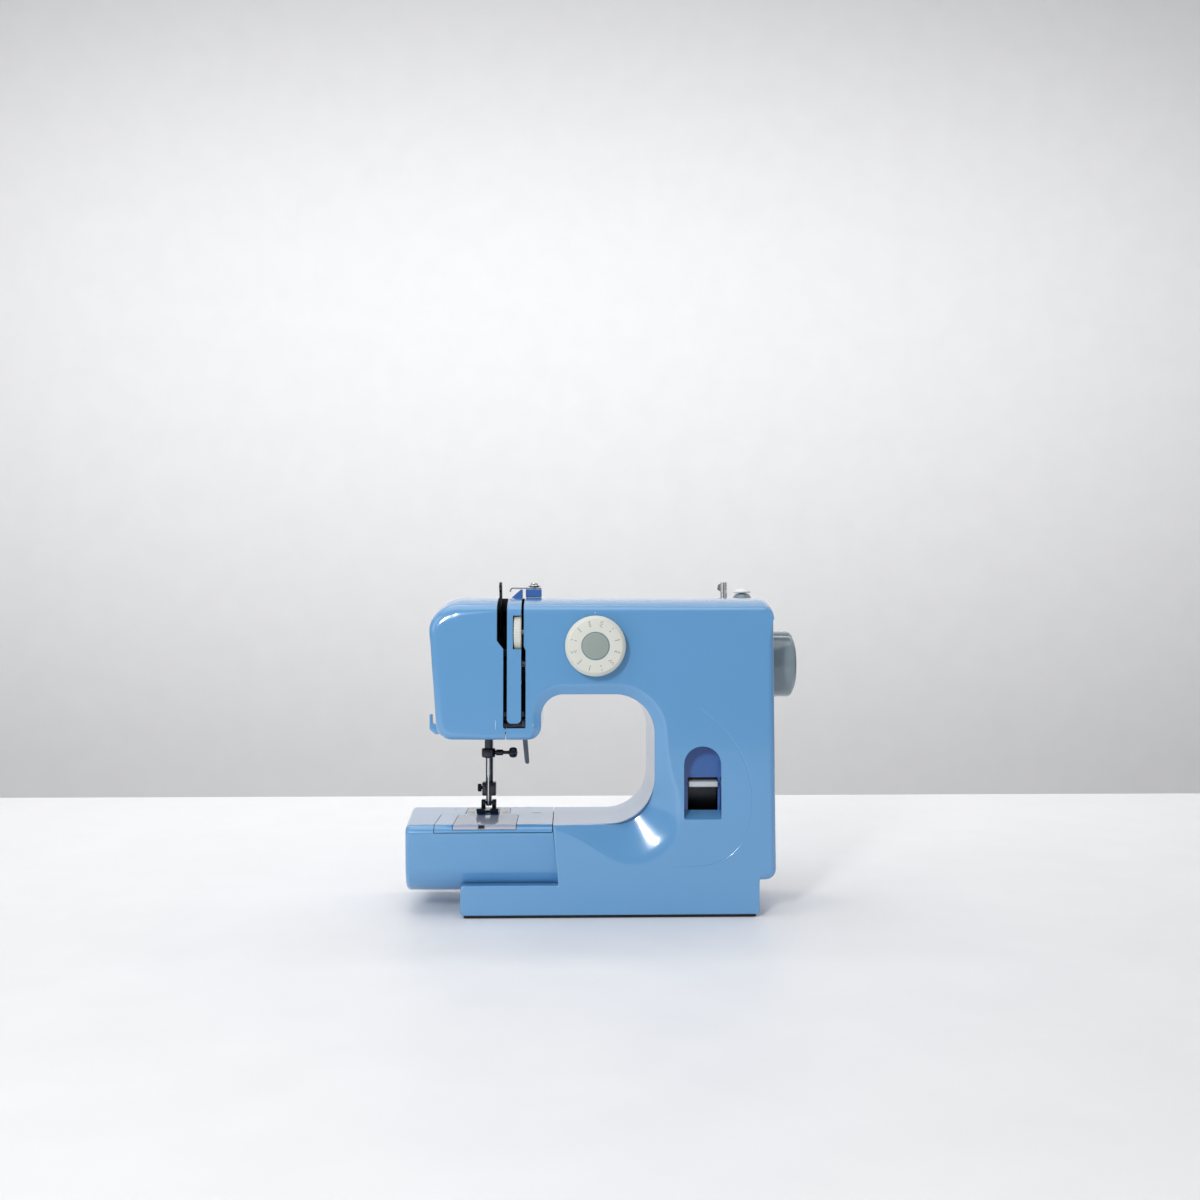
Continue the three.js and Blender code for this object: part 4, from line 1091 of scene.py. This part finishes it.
# The guide block is painted-shade blue, darker as if shaded by the plate above it.
block = prism("guide_foot", "y", [(-57.4, 243.6, 0.4), (-45, 243.6, 0.8), (-45, 250, 0.8), (-57.4, 250, 0.4)],
              -22, -8, painted_shade_blue, (0.6, 0.6))
combine(block, [rod("z", 1.6, 240, 270, GUIDE)])
smooth(block, 30)
place(block, "guide_block")
sheet = prism("guide_sheet", "y", [(-70.4, 248), (-69.2, 248), (-68.6, 250.3, 1), (-45.2, 250.3),
                                   (-45.2, 251.3), (-69.4, 251.3, 1.8)], -20, -10, bright_chrome, (0.2, 0.2))
combine(sheet, [rod("z", 1.6, 240, 270, GUIDE)])
place(soften(sheet, 0.15), "thread_guide")
disc = turned("tension_dish", "z", [(1.6, 251.6), (3.8, 251.6, 1), (5.4, 252.7), (5.2, 253), (3.6, 252, 1),
                                    (1.6, 252)], GUIDE, bright_chrome, 64)
place(disc, "pretension_disc")
screw = turned("guide_screw_head", "z", [
    (0, 246), (1.2, 246), (1.2, 253.3), (3, 253.3, 0.2), (3, 254.6, 0.6), (2.4, 255.4, 0.4), (0, 255.4)],
    GUIDE, bright_chrome, 48)
combine(screw, [box(-54.5, -47, -15.35, -14.65, 254.8, 257)])
place(soften(screw, 0.1), "guide_screw")

# %% [markdown]
# ## Spool pin and bobbin winder
# The spool pin is a polished rod with a small barb that keeps the thread spool down. The
# winder is a white domed spindle in a grey seat, carried by an arm under the cover.

# %% Spool pin and winder
pin = turned("spool_rod", "z", [(0, 205), (2.75, 205), (2.75, 257.8, 0.8), (1.8, 258.6, 0.6), (0, 258.6)],
             AT_SPOOL, bright_chrome, 64)
barb = prism("barb", "y", [(100.2, 252, 0.4), (103.8, 249.6), (104, 256.8), (101, 256.2, 0.6)], 29.2, 30.8,
             bright_chrome)
combine(pin, [barb], "UNION")
smooth(pin, 30)
place(pin, "spool_pin")
place(turned("winder_rod", "z", [(0, 229), (2.9, 229), (2.9, 249.1), (7.4, 249.3, 0.2), (7.2, 250.6, 1),
                                 (4, 252.6, 3), (0, 253)], AT_WINDER, white_abs, 64), "winder_spindle")
place(turned("winder_dome", "z", [
    (3.2, 242), (7.8, 242, 0.3), (7.8, 245, 1.4), (6.2, 247.8, 2), (3.2, 248.8)], AT_WINDER, smoke_abs, 64),
    "winder_seat")

# %% [markdown]
# ## Power side, latch and base
# The rocker switch and the mains socket sit on the right side behind the front half. The
# latch on the bobbin cover and the rubber base pad complete the outside.

# %% Switch, socket, latch and base pad
rocker = prism("rocker_key", "y", [
    (126, 73, 1), (131, 69.6, 1), (135.6, 69.6, 1), (134.6, 78, 8), (136.6, 86.4, 1), (131, 86.4, 1),
    (126, 83, 1)], 20.4, 31.6, black_abs, (0.5, 0.5))
place(rocker, "power_switch")
socket = box(118, 134.2, 16, 36, 42, 58, 1.5, "x")
combine(socket, [box(122, 140, 18.5, 33.5, 44.5, 55.5, 2.5, "x")])
combine(socket, [rod("x", 1.2, 120, 127, (0, y, 50)) for y in (22.4, 29.6)], "UNION")
socket.name = "mains_socket"
socket.data.materials.clear()
socket.data.materials.append(black_abs)
smooth(socket, 30)
place(soften(socket, 0.3), "power_inlet")
catch = prism("cover_catch", "x", [(-48.5, 67.4), (-48.5, 69.4, 0.3), (-50.2, 69, 1), (-51.8, 68, 0.3),
                                   (-51.8, 67.4)], -92, -87.6, black_abs, (0.2, 0.2))
place(catch, "cover_latch")
place(prism("base_pad", "z", rect(-103, 119, -53, 50, 3), 0, 1.9, rubber, (0.5, 0.2)), "bottom_plate")

# %% [markdown]
# ## Studio
# The machine stands on a pale table in front of a pale wall. Large soft lights from above
# and from both sides give long, quiet reflections on the gloss.


# %% Table and wall
def stage_plane(name, corners, hex_colour, roughness):
    mesh = bpy.data.meshes.new(name)
    mesh.from_pydata([Vector(c) * MM for c in corners], [], [(0, 1, 2, 3)])
    material = grained_plastic(name + "_paint", hex_colour, roughness, 4.0, 0.02)
    mesh.materials.append(material)
    plane = bpy.data.objects.new(name, mesh)
    bpy.context.scene.collection.objects.link(plane)


table = [(-2500, -1500, 0), (2500, -1500, 0), (2500, 665, 0), (-2500, 665, 0)]
wall = [(-4000, 1500, -900), (4000, 1500, -900), (4000, 1500, 3200), (-4000, 1500, 3200)]
stage_plane("table_top", table, "F4F4F5", 0.5)
stage_plane("back_wall", wall, "EFEFF0", 0.8)


# %% Lights and camera
def soft_light(name, at, aim, size, power):
    light = bpy.data.lights.new(name, "AREA")
    light.shape = "RECTANGLE"
    light.size, light.size_y = size
    light.energy = power
    lamp = bpy.data.objects.new(name, light)
    lamp.location = at
    lamp.rotation_euler = (Vector(aim) - Vector(at)).to_track_quat("-Z", "Y").to_euler()
    bpy.context.scene.collection.objects.link(lamp)


world = bpy.data.worlds.new("studio")
bpy.context.scene.world = world
world.use_nodes = True
world.node_tree.nodes["Background"].inputs["Color"].default_value = linear("FAFBFF")
world.node_tree.nodes["Background"].inputs["Strength"].default_value = 0.27
soft_light("key_box", (-0.58, -1.52, 0.8), (0, 0, 0.15), (0.18, 0.3), 12.5)
soft_light("top_box", (-0.2, -0.3, 1.7), (0, 0.1, 0.1), (1.6, 1.2), 9)
soft_light("left_box", (-1.5, -0.9, 0.9), (0, 0, 0.15), (0.9, 1.4), 5)
soft_light("right_box", (1.3, -1.3, 0.8), (0, 0, 0.15), (0.5, 1.2), 2)
soft_light("wall_wash", (0, 0.45, 1.2), (0, 1.5, 0.0), (3.4, 0.4), 15)

camera_data = bpy.data.cameras.new("camera")
camera_data.lens = 36.3
camera_data.sensor_width = 36
camera = bpy.data.objects.new("camera", camera_data)
camera.location = Vector((-26.6, -975, 210)) * MM
camera.rotation_euler = (math.radians(90 + 1.89), 0, math.radians(-1.66))
bpy.context.scene.collection.objects.link(camera)
bpy.context.scene.camera = camera
bpy.context.scene.view_settings.view_transform = "Standard"
